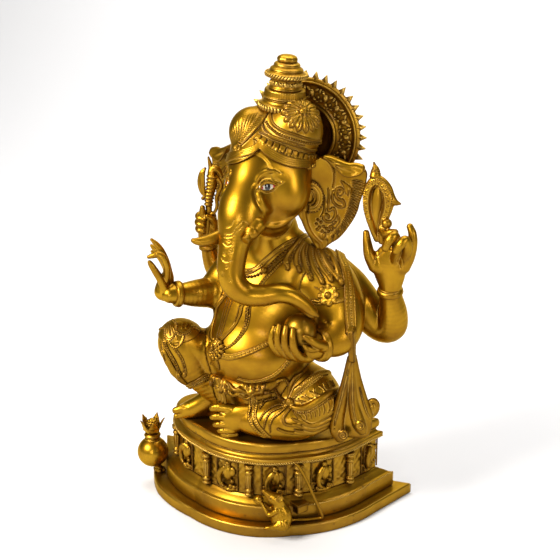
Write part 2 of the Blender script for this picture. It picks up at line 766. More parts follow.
FRONT_LEFT_ARM = Form(tube([
    (80, 10, 336, 25), (97, 4, 322, 27), (109, -5, 298, 28.5), (112, -14, 276, 28),
    (110, -26, 264, 25), (103, -38, 260, 20), (92, -50, 257, 16), (84, -56, 255, 15)], 0, steps=6))
FRONT_LEFT_ARM.add(tube([(74, -6, 318, 20), (88, -12, 296, 20), (96, -18, 278, 18)], 0), 12)
REAR_LEFT_ARM = Form(tube([
    (90, 26, 330, 22), (110, 32, 308, 24), (132, 37, 278, 24), (150, 38, 262, 23),
    (163, 33, 264, 21), (167, 26, 282, 18.5), (166, 20, 302, 15), (165, 16, 318, 12.5),
    (165, 15, 328, 12)], 0))
HEAD = Form(ovoid((19, -3, 472), (48, 47, 49)))
HEAD.add(ovoid((37, -19, 441), (34, 32, 37), (0, 10, 0)), 16)
HEAD.add(ovoid((-10, -24, 434), (26, 28, 36)), 16)
HEAD.add(tube([(14, -10, 478, 38), (9, -33, 463, 32.5), (6, -50, 445, 27.5), (3, -68, 420, 23)], 0, 12), 14)
HEAD.add(ovoid((22, -26, 404), (26, 26, 20), (0, 14, 0)), 14)
TRUNK = Form(tube([
    (3, -66, 424, 23.5), (2, -75, 409, 21.3), (-1, -86, 382, 18),
    (-2, -92, 354, 16.5), (4, -93, 338, 15.5), (18, -89, 328, 14), (36, -84, 327, 13),
    (52, -79, 329.5, 11.8), (66, -73, 326, 10.4), (79, -66, 316, 9), (88, -61, 305, 7.6)], 0, 8))
BODY = {
    "torso": TORSO, "raised_leg": RAISED_LEG, "folded_leg": FOLDED_LEG,
    "arm_front_right": FRONT_RIGHT_ARM, "arm_rear_right": REAR_RIGHT_ARM, "arm_front_left": FRONT_LEFT_ARM,
    "arm_rear_left": REAR_LEFT_ARM, "head": HEAD, "trunk": TRUNK,
}
# Neighbours cast into each other and the size of the fillet between them.
JOINED = {
    ("torso", "raised_leg"): 14, ("torso", "folded_leg"): 14, ("torso", "arm_front_right"): 16,
    ("torso", "arm_rear_right"): 14, ("torso", "arm_front_left"): 14, ("torso", "arm_rear_left"): 14,
    ("torso", "head"): 8, ("head", "trunk"): 22, ("arm_front_left", "arm_rear_left"): 6,
    ("arm_front_right", "arm_rear_right"): 6,
}


def neighbours(name):
    """The castings joined to this one, each with its fillet."""
    out = {}
    for (a, b), fillet in JOINED.items():
        if name in (a, b):
            out[b if name == a else a] = fillet
    return out


def body_form(name):
    """One casting with the fillets it shares with its neighbours, ending at the seam between."""
    own, near = BODY[name], neighbours(name)
    form = own.copy()
    for other, fillet in near.items():
        form.add(BODY[other], fillet)

    def seam(P, lo, hi, reach):
        far = reach + 30
        d = own.value(P, lo, hi, far)
        rest = np.full(P.shape[1], FAR, np.float32)
        for other in near:
            np.minimum(rest, BODY[other].value(P, lo, hi, far), out=rest)
        return (d - rest) * 0.5 - 0.15

    lo, hi = own.box()
    return form.keep((seam, lo - 4, hi + 4))


# ---------------------------------------------------------------- small shapes on a surface
def spiral(turns, r0, r1, start=0.0, flip=1):
    """Flat points winding out from r0 to r1, 26 of them in a turn."""
    t = np.linspace(0, 1, max(8, int(26 * turns)))
    a = start + flip * 2 * math.pi * turns * t
    r = r0 + (r1 - r0) * t
    return np.stack([r * np.cos(a), r * np.sin(a)], 1)


def frame_at(form, point):
    """The surface point nearest to point, with its outward, rightward and upward directions."""
    p, n = on_surface(form, [point])
    n = unit(n[0])
    right = unit(np.cross((0, 0, 1), n))
    return p[0], n, right, np.cross(n, right)


def laid(form, point, flat, lift=0.0):
    """Flat points, x to the right and y up, laid on the form's surface around a point."""
    c, _, right, up = frame_at(form, point)
    pts = c + np.asarray(flat)[:, :1] * right + np.asarray(flat)[:, 1:2] * up
    return on_surface(form, pts, lift)[0]


def laid_path(form, points, steps=5, lift=0.0):
    """A smooth curve through the points, laid on the form's surface."""
    return on_surface(form, spline(points, steps), lift)[0]


def tapered(path, middle, ends=0.25):
    """x, y, z, r points along a path, thick in the middle and thin at both ends."""
    t = np.linspace(0, 1, len(path))
    r = middle * (ends + (1 - ends) * np.sin(math.pi * t) ** 0.6)
    return np.column_stack([path, r])


def reed(path, middle, ends=0.25):
    """A rod along a path, thick in the middle and thin at both ends."""
    return tube(tapered(path, middle, ends), 0)


def around(i, count, start=0.0):
    """The angle of place i of count in a circle."""
    return 2 * math.pi * i / count + start


def bead_string(target, path, gap, radius, blend=0.25):
    """A row of balls along a dense path, an even gap apart."""
    target.add(beads(along(path, gap), radius), blend)


# ---------------------------------------------------------------- plain limbs
for name in BODY:
    if name not in ("head", "trunk"):
        form_piece(name + "_casting", body_form(name), GOLD, name, step=1.2 if "arm" in name else 1.5,
                   slot="figure_brass")


# ---------------------------------------------------------------- head, trunk, eyes and tusks
FACE = HEAD.copy().add(TRUNK, JOINED["head", "trunk"])
EYE_LEFT, EYE_RIGHT = (32.3, -59.6, 453.4), (-24.5, -52, 454)


def carve_eye(head, at, mirror=1):
    """Sinks the socket, folds the lids round an almond opening and draws the brow."""
    c, _, right, up = frame_at(FACE, at)
    side = right * mirror

    def over(flat, lift=0.0):
        flat = np.asarray(flat, float)
        pts = c + flat[:, :1] * side + flat[:, 1:2] * up
        return on_surface(FACE, spline(pts, 5), lift)[0]

    head.cut(reed(over([(-12.5, -0.5), (-7.4, 7.2), (0, 9.6), (8.6, 8.2), (17, 3.4)],
                       -0.2), 1.5, 0.3), 3.5)
    head.cut(reed(over([(-14, 2), (-16.4, -5), (-16, -14), (-12, -24)], 0.8), 2.6, 0.2),
             7)
    head.cut(tube(over([(-7, 0), (0, 0.2), (7, 0)], 1.6), 3.6), 1.4)
    head.add(reed(over([(-11, -1.6), (-7.0, 3.2), (-0.6, 4.9), (6.4, 3.6), (12, 0.6)], 0.5),
                  1.9, 0.5), 0.7)
    head.add(reed(over([(-11, -1.6), (-6, -4.6), (0.5, -5.5), (6.8, -4.2), (12, 0.4)], 0.3),
                  1.35, 0.5), 0.7)
    head.add(reed(over([(12, 0.8), (16.5, 2.0), (21.5, 3.8)], 0.1), 0.9, 0.3), 0.6)
    head.add(reed(over([(-13, -7), (-12.4, -15), (-8.6, -22), (0, -28), (8, -32)], -1.6),
                  2.6, 0.3), 6)
    brow = over([(-15.2, 4), (-13.4, 11.5), (-9, 17), (-1, 19.6), (8, 19.4), (15, 16.5),
                 (20, 13.6)])
    head.cut(reed(brow, 0.85, 0.6), 0.7)
    head.add(reed(over([(-13.4, 9.5), (-8.6, 14.6), (-1, 17.2), (7.6, 17.0), (14, 14.4)], -0.8),
                  2.1, 0.5), 3)


def head_form():
    """The head with its eye sockets, brow, creases and lip."""
    head = body_form("head")
    carve_eye(head, EYE_LEFT)
    carve_eye(head, EYE_RIGHT, -1)
    # Creases over the root of the trunk, at the side turned away
    for k in range(3):
        crease = laid_path(FACE, [(-12 - 2.2 * k, -62 + 3 * k, 470), (-15 - 2 * k, -61 + 2 * k, 458),
                                  (-13 - 2 * k, -64 + 2 * k, 447)], 6)
        head.cut(reed(crease, 0.8), 0.8)
    # The lip that runs back from the stub along the cheek
    lip = laid_path(FACE, [(30, -62, 402), (38, -48, 402), (50, -36, 405), (58, -24, 412)], 6, -0.6)
    head.add(reed(lip, 2.4, 0.4), 4)
    return head


def trunk_form():
    """The trunk with its engraved scrolls, wrinkles and tip."""
    trunk = body_form("trunk")
    line = lambda pts: laid_path(FACE, pts, 5)
    for pts in [
        [(-7, -98, 402), (2.8, -99.9, 404.6), (7.9, -98.5, 411.7), (14.6, -95.4, 419)],
        [(-7, -99, 398.5), (3.4, -100.4, 401), (9.2, -98.6, 407.4), (15, -95.6, 413)],
        [(14.6, -95.4, 419), (18.5, -92.5, 417.5), (21, -90, 412.5)],
        [(-4, -97, 410), (2, -97.6, 413.5), (5, -96.5, 420)],
        [(-8, -100, 392), (-2, -103, 389.5), (4, -103, 391.5)],
        [(-9, -103, 374), (-3, -106, 371), (5, -105.4, 373)],
    ]:
        trunk.cut(tube(line(pts), 0.55), 0.5)
    for at, r, flip in [((-1.3, -101.6, 396), 3.1, 1), ((2.3, -103.6, 384.4), 3.3, -1),
                        ((-5.5, -105.6, 380), 2.4, 1), ((-1.5, -107.4, 366), 2.5, -1),
                        ((-6.5, -107, 356), 2.4, 1), ((3, -108, 350), 2.0, -1)]:
        trunk.cut(tube(laid(FACE, at, spiral(1.35, 0.5, r, flip=flip)), 0.5), 0.4)
    # Faint wrinkles on the underside of the bend
    for k in range(9):
        x = 8 + 6.5 * k
        trunk.cut(reed(laid_path(FACE, [(x - 1, -98, 322), (x, -92, 315), (x + 1, -84, 313)], 5),
                       0.55), 0.5)
    # Nostril slits and the finger at the tip
    trunk.add(tube([(84, -64.5, 309, 5.2), (91, -61.5, 303, 3.8), (96, -59, 299.5, 1.8)], 0), 3)
    trunk.cut(reed(spline([(72, -75, 314), (80, -72, 307.5), (88, -67, 301.5), (95, -62, 298)],
                          6)[:, :3], 1.3), 0.9)
    return trunk


form_piece("head_casting", head_form(), GOLD, "head", step=0.95, slot="figure_brass")
form_piece("trunk_casting", trunk_form(), GOLD, "trunk", step=0.65, slot="figure_brass")

tusk = Form(tube([(-10, -58, 400, 9.5), (-18, -72, 394, 8.6), (-28, -82, 390, 7.6),
                  (-38, -89, 388, 6.0), (-45, -93.4, 388.6, 4.3), (-48.5, -95, 389.6, 3.0)], 0, 6))
form_piece("tusk_whole", tusk, GOLD, "tusk_right", step=0.9, slot="tusk_brass")

# The broken tusk: a short peg that points forward out of a rolled lip
STUB_ROOT, STUB_RIM = np.array((25.6, -79, 411)), np.array((22.6, -89, 404.6))
STUB_END = np.array((19.8, -101, 397.4))
stub_axis = unit(STUB_END - STUB_RIM)
stub_side = np.cross(stub_axis, (0, 0, 1))
stub = Form(tube([(*STUB_ROOT, 11.0), (*STUB_RIM, 9.0)], 0, 3))
stub.add(hoop(STUB_RIM, stub_axis, 7.4, 2.0), 1.2)
stub.cut(hoop(STUB_RIM + stub_axis * 1.8, stub_axis, 5.9, 0.8), 0.6)
stub.add(tube(np.vstack([STUB_ROOT, STUB_END]), 5.2, 2), 0.4)
stub.keep(block(STUB_END - stub_axis * 40, (60, 60, 40),
                (stub_side, np.cross(stub_axis, stub_side), stub_axis), edge=0.8), 0.8)
form_piece("tusk_stub", stub, GOLD, "tusk_left_stub", step=0.8, slot="tusk_brass")


def eye_pieces(tag, at, mirror):
    """Painted eye: a white almond, a black pupil and red corners, a little proud of the lids."""
    c, n, right, up = frame_at(FACE, at)
    axes = np.stack([right * mirror, up, n], 1)

    def patch(name, centre, radii, material, *nodes):
        ball = bpy.data.meshes.new(name)
        ob = bpy.data.objects.new(name, ball)
        bm = bmesh.new()
        bmesh.ops.create_uvsphere(bm, u_segments=40, v_segments=24, radius=1.0)
        m = np.eye(4)
        m[:3, :3] = axes @ np.diag(radii)
        m[:3, 3] = c + SHIFT + axes @ np.asarray(centre)
        bm.transform(Matrix.Scale(MM, 4) @ Matrix(m.tolist()))
        bm.to_mesh(ball)
        bm.free()
        for f in ball.polygons:
            f.use_smooth = True
        bpy.context.scene.collection.objects.link(ob)
        place(ob, material, *nodes)

    patch("eye_white_" + tag, (0.3, -0.2, -2.2), (11.0, 5.4, 3.6), EYE_WHITE, "eyes")
    patch("eye_iris_" + tag, (-0.4, -0.1, 0.6), (4.1, 4.1, 1.3), EYE_BLACK)
    for name, x in (("inner", -7.7), ("outer", 8.3)):
        patch(f"eye_{name}_corner_{tag}", (x, -0.4, -0.45), (2.6, 2.3, 1.3), EYE_RED)


eye_pieces("left", EYE_LEFT, 1)
eye_pieces("right", EYE_RIGHT, -1)


# ---------------------------------------------------------------- ears and earring
def outline_distance(x, y, outline):
    """Distance in the plane to a closed outline, negative inside."""
    a = np.asarray(outline, np.float32)
    b = np.roll(a, -1, axis=0)
    best = np.full(x.shape, FAR, np.float32)
    inside = np.zeros(x.shape, bool)
    for (ax, ay), (bx, by) in zip(a, b):
        ex, ey = bx - ax, by - ay
        px, py = x - ax, y - ay
        t = np.clip((px * ex + py * ey) / (ex * ex + ey * ey + 1e-9), 0, 1)
        np.minimum(best, (px - t * ex) ** 2 + (py - t * ey) ** 2, out=best)
        if ay != by:
            crosses = ((ay > y) != (by > y)) & (x < (bx - ax) * (y - ay) / (by - ay) + ax)
            inside ^= crosses
    best = np.sqrt(best)
    return np.where(inside, -best, best)


class Sheet:
    """A thin plate with an outline, bent by a function of its flat x and y."""

    def __init__(self, root, across, up, outline, half, bend):
        self.root, self.x, self.y = np.asarray(root, float), unit(across), unit(up)
        self.n = np.cross(self.x, self.y)
        self.outline, self.half, self.bend = np.asarray(outline, float), half, bend

    def shape(self):
        m = np.stack([self.x, self.y, self.n]).astype(np.float32)
        root = self.root.astype(np.float32)[:, None]
        corners = np.array([self.point(x, y, w) for x, y in self.outline for w in (-9, 9)])

        def fn(P, lo, hi, reach):
            q = m @ (P - root)
            a = outline_distance(q[0], q[1], self.outline) + self.half
            b = (np.abs(q[2] - self.bend(q[0], q[1])) - self.half) * 0.85 + self.half
            outside = np.hypot(np.maximum(a, 0), np.maximum(b, 0))
            return outside + np.minimum(np.maximum(a, b), 0) - self.half

        return fn, corners.min(0), corners.max(0)

    def point(self, x, y, lift=0.0):
        w = float(self.bend(np.float32(x), np.float32(y))) + lift
        return self.root + x * self.x + y * self.y + w * self.n

    def path(self, flat, steps=5, lift=None):
        """A smooth curve through flat points, laid on the bent plate."""
        lift = self.half if lift is None else lift
        return np.array([self.point(x, y, lift) for x, y in spline(flat, steps)[:, :2]])


EAR_OUTLINE = closed_spline([
    (-8, 412), (-7, 440), (-3, 460), (4, 468), (16, 477.5), (29, 481.6), (42, 477.6), (58, 470),
    (71, 466), (76.5, 460), (75.6, 447), (72.6, 435), (69, 424), (66, 412), (61, 400.6), (52.6, 387),
    (43.6, 376.5), (34, 370.4), (27.6, 365.2), (20, 357.6), (15, 365.4), (9, 376), (2.4, 387),
    (-3, 400)], 4)


def ear_bend(x, y):
    """The middle is hollow, the outer margin curls forward and the tip hangs forward."""
    hollow = -5.0 * np.exp(-(((x - 22) / 24) ** 2 + ((y - 432) / 36) ** 2))
    rim = 0.08 * np.maximum(x - 56, 0) ** 1.35
    wave = 1.6 * np.sin((y - 380) / 17.0) * np.clip((x - 15) / 50, 0, 1)
    return hollow + rim + wave + 3.0


def ear_form(root, turn, mirror):
    """One ear with its relief, and the plate that the relief lies on."""
    a = math.radians(turn)
    across = (math.cos(a), math.sin(a), 0)
    ear = Sheet(root, across, (0, 0, 1), EAR_OUTLINE, 2.4, ear_bend)
    if mirror:
        ear.n = -ear.n
        ear.bend = lambda x, y: ear_bend(x, y) - 6
    form = Form(ear)

    def vein(points, thick, blend=0.7, lift=3.0, ends=0.25):
        form.add(reed(ear.path(points, 5, lift), thick, ends), blend)

    # The upper edge folds over to the front
    flap = [(24, 479.5), (33, 476.5), (43, 471.5), (53, 468.5), (62, 468.5), (69, 466.5)]
    form.add(tube(np.column_stack([ear.path(flap, 5, 4.5), np.linspace(2.2, 4.6, 26)]), 0), 3)
    drop = Sheet(ear.root, ear.x, ear.y, closed_spline([
        (26, 480), (40, 476), (54, 471), (68, 468), (71, 463), (66, 459), (58, 457.5), (50, 458),
        (43, 463), (35, 471)], 4), 1.8, lambda x, y: ear.bend(x, y) + 9.2 - 0.012 * (y - 455) ** 2)
    drop.n = ear.n
    form.add(drop, 3.5)
    vein([(27, 478), (35, 470), (43, 462), (50, 457.5), (58, 457), (66, 459.5), (70, 464)], 1.7, 1.2,
         9.6, 0.6)
    vein([(30, 474), (40, 471), (50, 466), (60, 462)], 1.1, 1.5, 9.5)
    # Inner rim that runs down to the tip, and the lobe beside it
    vein([(0, 412), (1.5, 402), (4.5, 393), (9, 384.5), (14.5, 377.5), (20.5, 371.5), (22, 364)], 2.3,
         2.4, 2.0, 0.6)
    form.cut(reed(ear.path([(5.5, 412), (6.6, 400), (10.5, 389), (16.1, 380.5), (23, 374)],
                           5, 3.0), 1.3, 0.4), 1.6)
    # Outer margin combed with grooves
    inner = spline([(58, 450), (57.4, 438), (55.8, 428), (53.4, 417), (49.6, 405), (44.4, 395),
                    (38, 386.6), (31.5, 379)], 8)[:, :2]
    outer = spline([(74, 447.6), (71.2, 435), (67.4, 423), (63.8, 410.6), (57.2, 397), (48.4, 384.4),
                    (39.4, 375.6), (29.6, 369)], 8)[:, :2]
    for i in range(0, len(inner), 2):
        a, b = inner[i], outer[i]
        middle = (a + b) / 2 + (0.6 * math.sin(i), 0.8)
        form.cut(reed(ear.path([a, middle, b], 4, 2.6), 1.5, 0.35), 0.7)
        c = (outer[i] + outer[min(i + 1, len(outer) - 1)]) / 2
        d = (inner[i] + inner[min(i + 1, len(inner) - 1)]) / 2
        form.add(reed(ear.path([d, (c + d) / 2, c], 4, 2.4), 1.3, 0.5), 0.6)
    # A beaded vein, a long S vein and scrolls
    form.add(beads(along(ear.path([(28.5, 475), (33, 469), (36.5, 460), (37, 450), (35.6, 442)],
                                  8, 2.6), 2.5), 1.3), 0.4)
    vein([(29.7, 440), (31, 429), (29.6, 418), (31.2, 412.4), (36.4, 415.6), (38.9, 408.4),
          (36.4, 401.8), (30.2, 398.6), (24.8, 402), (25.8, 407.4), (30.4, 406.6), (30.6, 403)],
         1.8, lift=3.2, ends=0.5)
    vein([(26, 432), (26.4, 420), (24.6, 410), (20, 404)], 1.5)
    vein([(42, 408), (43, 400), (39.6, 394.6), (33, 392.6)], 1.7)
    vein([(36, 437), (34.9, 429), (36.9, 422), (43, 417.4), (49, 418.4), (48, 425), (43, 426.6),
          (38.8, 432), (40.4, 439.4), (45.2, 440.6), (47.4, 436), (44.4, 432.4), (41.8, 435)],
         1.8, lift=3.2, ends=0.5)
    form.add(ovoid(ear.point(43.8, 436, 2.6), 2.3), 0.5)
    for pts in ([(48, 449), (52, 441), (53.6, 431)], [(44.5, 450), (49.6, 443), (51.4, 433)],
                [(51, 446), (56, 440), (57, 433)]):
        vein(pts, 1.7, 0.6)
    # A flower spray above the tip
    for x, y in [(17.6, 401), (21.4, 398.2), (15.8, 396.2), (19.4, 392), (24.6, 393), (16.8, 389.4),
                 (22.8, 387.2), (28.2, 390.4), (32, 392.2), (36, 394.6), (39.4, 397.6),
                 (26.2, 384.2), (30.6, 386.6), (34.6, 389), (38.4, 392)]:
        form.add(ovoid(ear.point(x, y, 3.0), (2.0, 2.0, 2.0)), 0.2)
    form.add(ovoid(ear.point(24.4, 380.6, 2.4), (2.9, 2.4, 3.6)), 0.5)
    vein([(19, 384.5), (21.6, 378.6), (26.6, 376.6), (31, 380.4)], 1.1, 0.6, 2.4, 0.6)
    return form, ear


left_form, LEFT_EAR = ear_form((58, -2, 0), 22.6, False)
right_form = ear_form((-26, 6, 0), 140, True)[0]
form_piece("ear_left_plate", left_form, GOLD, "ear_left", step=0.85, slot="figure_brass")
form_piece("ear_right_plate", right_form, GOLD, "ear_right", step=0.95, slot="figure_brass")

crescent = [(5.6, 447), (12.6, 444.8), (18.6, 437.6), (20.8, 430), (19.6, 421.6), (14.4, 415.4),
            (6.8, 414.4)]
hoop_form = Form(reed(LEFT_EAR.path(crescent, 6, 4.2), 2.4, 0.8))
for thick, lift, points in (
    (1.9, 4.6, [(5.8, 443), (11.4, 441), (15.8, 435.4), (17.2, 429.6), (16, 422.6), (11.8, 418.4),
                (6.4, 418)]),
    (1.5, 4.4, [(5.6, 438.4), (10, 437.4), (13, 433), (13.6, 428.8), (12.2, 424), (9, 421.6),
                (5.6, 421.4)]),
):
    hoop_form.add(reed(LEFT_EAR.path(points, 6, lift), thick, 0.8), 0.4)
hoop_form.add(ovoid(LEFT_EAR.point(7, 430, 1.0), (5, 5, 8)), 1)
bead_string(hoop_form, LEFT_EAR.path([(4.6, 450.4), (13.6, 447.8), (20.4, 440), (23.4, 430.4),
                                      (21.8, 420), (15.6, 412.4), (6, 411.2)], 8, 5.0), 3.3, 1.75)
form_piece("earring_crescent", hoop_form, ORNAMENT, "earring", step=0.6, slot="ornament_brass")


# ---------------------------------------------------------------- headdress
def grown(form, by):
    """The form with its surface moved outwards."""
    lo, hi = form.box()
    return (lambda P, a, b, reach: form.value(P, a, b, reach + by) - by), lo - by, hi + by


CAP = Form(ovoid((19, -3, 475), (51.5, 51, 52)))
CAP.add(grown(HEAD, 2.8), 3)
DOMES = Form(ovoid((45, -4, 511), (36, 36, 36.5)))
DOMES.add(ovoid((-2, -13, 507), (30, 29, 31)), 5)
DOMES.add(ovoid((24, 6, 512), (38, 38, 34)), 6)
DRESS = CAP.copy().add(DOMES, 5)

HEM_TO_LEFT_EAR = [(19, -49.2, 496), (25.8, -50.5, 490.5), (33.4, -50.4, 485.5), (42.5, -47.6, 480.8),
                   (50.9, -42.6, 476.9), (58.5, -35.2, 473.7), (66.6, -21.3, 470.8), (71, -4, 469),
                   (70, 14, 469), (60, 32, 469)]
HEM_TO_RIGHT_EAR = [(19, -49.2, 496), (14.6, -51.3, 489.5), (8.4, -51.7, 484.4), (-0.1, -50, 479.2),
                    (-11.6, -43.9, 474.6), (-21, -34, 472), (-29, -18, 470), (-32, -2, 469), (-28, 16, 469),
                    (-18, 32, 469)]


def hem_height(P):
    """The height of the hem over each point, by its direction round the head."""
    paths = np.vstack([HEM_TO_RIGHT_EAR[::-1], HEM_TO_LEFT_EAR[1:]])
    a = np.degrees(np.arctan2(paths[:, 0] - 19, -(paths[:, 1] + 3)))
    q = np.degrees(np.arctan2(P[0] - 19, -(P[1] + 3)))
    return np.interp(q, a, paths[:, 2]).astype(np.float32)


def headdress_form():
    """The wound cloth with its hem, gems, bands and the leaves on both domes."""
    dress = CAP.copy()
    lo, hi = DRESS.box()
    dress.keep(((lambda P, a, b, reach: (hem_height(P) - P[2]) * 0.8), lo - 2, hi + 2), 1.0)
    dress.add(DOMES, 4)
    ridge = lambda pts, r, lift=0.2, blend=0.6: dress.add(
        tube(laid_path(DRESS, pts, 5, lift), r, 1), blend)
    # Five fine rolls along the hem
    for k in range(5):
        up = np.array((0, 0.5 * k, 2.5 * k))
        for hem in (HEM_TO_LEFT_EAR, HEM_TO_RIGHT_EAR):
            pts = np.asarray(hem, float) + up * np.linspace(1, 0.8, len(hem))[:, None]
            ridge(pts, 1.3, 0.5 + 0.1 * k, 0.2)
    # Gem row with a scalloped edge below it
    gems = laid_path(DRESS, [(16, -42, 506.4), (23.3, -44, 503.4), (31, -44.4, 501), (37, -43.6, 498.8),
                             (45, -41, 495.8), (53.6, -36.6, 491.4), (63, -27, 486.6), (69, -14, 482),
                             (71, 0, 479)], 6, 1.0)
    marks = along(gems, 8.4)
    for i, c in enumerate(marks):
        c, n = frame_at(DRESS, c)[:2]
        d = unit(marks[min(i + 1, len(marks) - 1)] - marks[max(i - 1, 0)])
        dress.add(block(c + n * 0.6, (3.5, 3.4, 2.0), (d, np.cross(n, d), n), edge=1.3), 0.4)
        for j in (-1, 1):
            dress.add(ovoid(c + d * 2.1 * j - np.cross(n, d) * 3.9, (2.3, 2.3, 1.9)), 0.5)
        for j in range(3):
            a = c - np.cross(n, d) * (5.6 + 1.6 * j) + d * (1.5 * j - 3)
            dress.add(tube(laid_path(DRESS, [a, a - np.cross(n, d) * 4 + d * 5], 4, 0.2), 0.55, 1), 0.3)
    ridge([(16.1, -38.6, 512), (24.3, -40, 509.3), (33.4, -40.6, 506.4), (44.2, -39, 503.8),
           (55.5, -34.9, 500.8), (63.5, -28.6, 497.1), (70, -16, 492), (73, -2, 489)], 1.3, 0.6)
    # Beaded band and the lines on either side of it
    band = [(21.3, -30, 523), (26.4, -33.4, 518.4), (34.6, -36.6, 514.7), (45, -37.6, 510.7),
            (55.5, -35.1, 507.3), (65.8, -28.2, 503.6), (74, -16, 500), (78, -2, 498)]
    bead_string(dress, laid_path(DRESS, band, 8, 0.8), 3.1, 1.6, 0.3)
    ridge([(16, -31, 520), (22, -37, 514), (32, -40, 509.6), (45, -39.6, 506.6), (56, -35.6, 503.4),
           (66, -28, 499.6)], 1.0, 0.4)
    ridge([(24, -19, 538), (26.4, -25, 530.5), (33, -33, 522), (46, -36, 516), (59.8, -32, 511.4),
           (72.9, -20, 504.7), (80, -6, 502)], 1.6, 0.8)
    # Flower of long petals on the large dome
    middle = np.array((60.4, -18.5, 533.4))
    c, n = frame_at(DRESS, middle)[:2]
    dress.add(ovoid(c + n, (5.2, 5.2, 4.6)), 0.5)
    for i in range(8):
        a = around(i, 8)
        dress.add(ovoid(laid(DRESS, c, [(6.6 * math.cos(a), 6.6 * math.sin(a))], 1.2)[0], 2.4), 0.4)
    for i in range(15):
        a = around(i, 15)
        ray = np.array([(r * math.cos(a), r * math.sin(a)) for r in (9, 16, 23, 30)])
        path = laid(DRESS, c, ray, 0.2)
        dress.add(tube(np.column_stack([path, (1.9, 3.6, 4.4, 2.0)]), 0, 3), 0.7)
        dress.cut(tube(laid(DRESS, c, ray, 3.9), 0.8, 3), 0.6)
    # Small dome: a twisted band down to a curl, and fine ribs beside it
    ridge([(20.2, -24.2, 530.4), (16, -29, 524.5), (9.6, -38.3, 515), (3.4, -43, 506),
           (-2.6, -45, 496)], 1.5, 0.9)
    rope = laid_path(DRESS, [(14, -26, 529), (7.4, -37, 519.5), (0.2, -42.4, 508.6), (-6, -43.6, 498)],
                     10, 1.0)
    for a, b in zip(along(rope, 2.6)[:-1], along(rope, 2.6)[1:]):
        t, m = unit(b - a), (a + b) / 2
        out = unit(m - np.array((-2, -13, 507)))
        side = unit(np.cross(t, out))
        dress.add(tube([m - side * 2.4 - t * 1.2, m + side * 2.4 + t * 1.2], 1.15, 1), 0.3)
    ridge([(11.6, -27.4, 528.2), (5, -38.6, 518), (-2.6, -42.6, 506), (-9.6, -42, 494.6)], 1.1, 0.5)
    dress.add(ovoid(frame_at(DRESS, (-8.5, -42.9, 490))[0], (4.6, 4.2, 4.8)), 0.8)
    for k in range(13):
        t = k / 12
        a = np.array((8, -24, 531)) * (1 - t) + np.array((-27, -30, 506)) * t
        b = np.array((1, -41, 514)) * (1 - t) + np.array((-20, -38, 490)) * t
        dress.cut(reed(laid_path(DRESS, [a, (a + b) / 2, b], 5, 0.2), 1.2, 0.4), 0.5)
        for f in (0.25, 0.5, 0.75):
            m = a * (1 - f) + b * f
            vein = laid_path(DRESS, [m, m + (-1.2, -0.6, -2.6), m + (-1.6, -0.2, -5.0)], 3, 0.2)
            dress.cut(reed(vein, 0.7), 0.3)
    # Plain cloth folds round the back
    for k in range(7):
        z = 478 + 7.5 * k
        pts = [(19 + 60 * math.sin(q), 60 * math.cos(q), z + 3 * math.sin(3 * q)) for q in
               np.linspace(-1.5, 1.5, 9)]
        dress.cut(tube(laid_path(DRESS, pts, 5, 0.2), 0.9, 1), 1.2)
    return dress


form_piece("headdress_cloth", headdress_form(), CLOTH, "headdress", "headband", step=0.72,
           slot="cloth_brass")
ear_knot = Form(ovoid((69, -17, 470), (4.2, 3.6, 3.4)))
ear_knot.add(ovoid((74, -13, 471.5), (3.2, 2.8, 2.6)), 1)
form_piece("headdress_knot", ear_knot, ORNAMENT, step=0.7)


# ---------------------------------------------------------------- turned crown and halo
def lathe(profile, sides=128, axis_at=(0, 0, 0), axis=(0, 0, 1), ripple=None):
    """Points and faces of a turned solid; ripple(angle, i) scales the radius at profile point i."""
    prof = np.asarray(profile, float)
    z = unit(axis)
    x = unit(np.cross((0, 1, 0) if abs(z[1]) < 0.9 else (0, 0, 1), z))
    y = np.cross(z, x)
    a = np.arange(sides) * 2 * math.pi / sides
    points = []
    for i, (r, h) in enumerate(prof):
        f = np.ones(sides) if ripple is None else ripple(a, i)
        points.append(np.asarray(axis_at) + (r * f * np.cos(a))[:, None] * x
                      + (r * f * np.sin(a))[:, None] * y + h * z)
    n, rings = sides, len(prof)
    i = np.arange(rings - 1)[:, None] * n
    j = np.arange(n)[None]
    k = (np.arange(n)[None] + 1) % n
    quads = np.stack([i + j, i + k, i + n + k, i + n + j], -1).reshape(-1, 4)
    points = np.vstack(points)
    faces = [quads]
    for ring, flip in ((0, True), (rings - 1, False)):
        at = len(points)
        points = np.vstack([points, points[ring * n:(ring + 1) * n].mean(0)])
        fan = np.stack([ring * n + j[0], ring * n + k[0], np.full(n, at)], 1)
        faces.append(fan[:, ::-1] if flip else fan)
    return points, faces


def join_parts(parts):
    """Several (points, faces) as one."""
    points, quads, tris, base = [], [], [], 0
    for p, faces in parts:
        for f in faces if isinstance(faces, list) else [faces]:
            (tris if f.shape[1] == 3 else quads).append(np.asarray(f) + base)
        points.append(p)
        base += len(p)
    return np.vstack(points), [np.vstack(f) for f in (quads, tris) if f]


def ball_part(centre, radii, axes=None, u=16, v=10):
    """A ball or ellipsoid with u meridians and v bands; axes are the rows of its own frame."""
    a = np.linspace(0, math.pi, v + 1)[1:-1]
    prof = np.stack([np.sin(a), -np.cos(a)], 1)
    points, faces = lathe(prof, u)
    points[-2], points[-1] = (0, 0, -1), (0, 0, 1)
    m = np.eye(3) if axes is None else np.asarray(axes)
    return np.asarray(centre) + (points * np.asarray(radii)) @ m, faces


def solid_piece(name, parts, material, *nodes, slot=None):
    """A piece from plain (points, faces) parts."""
    points, faces = join_parts(parts)
    ob = make_mesh(name, points + SHIFT, faces)
    skin = bmesh.new()
    skin.from_mesh(ob.data)
    bmesh.ops.recalc_face_normals(skin, faces=skin.faces)
    skin.to_mesh(ob.data)
    skin.free()
    place(ob, material, *nodes)


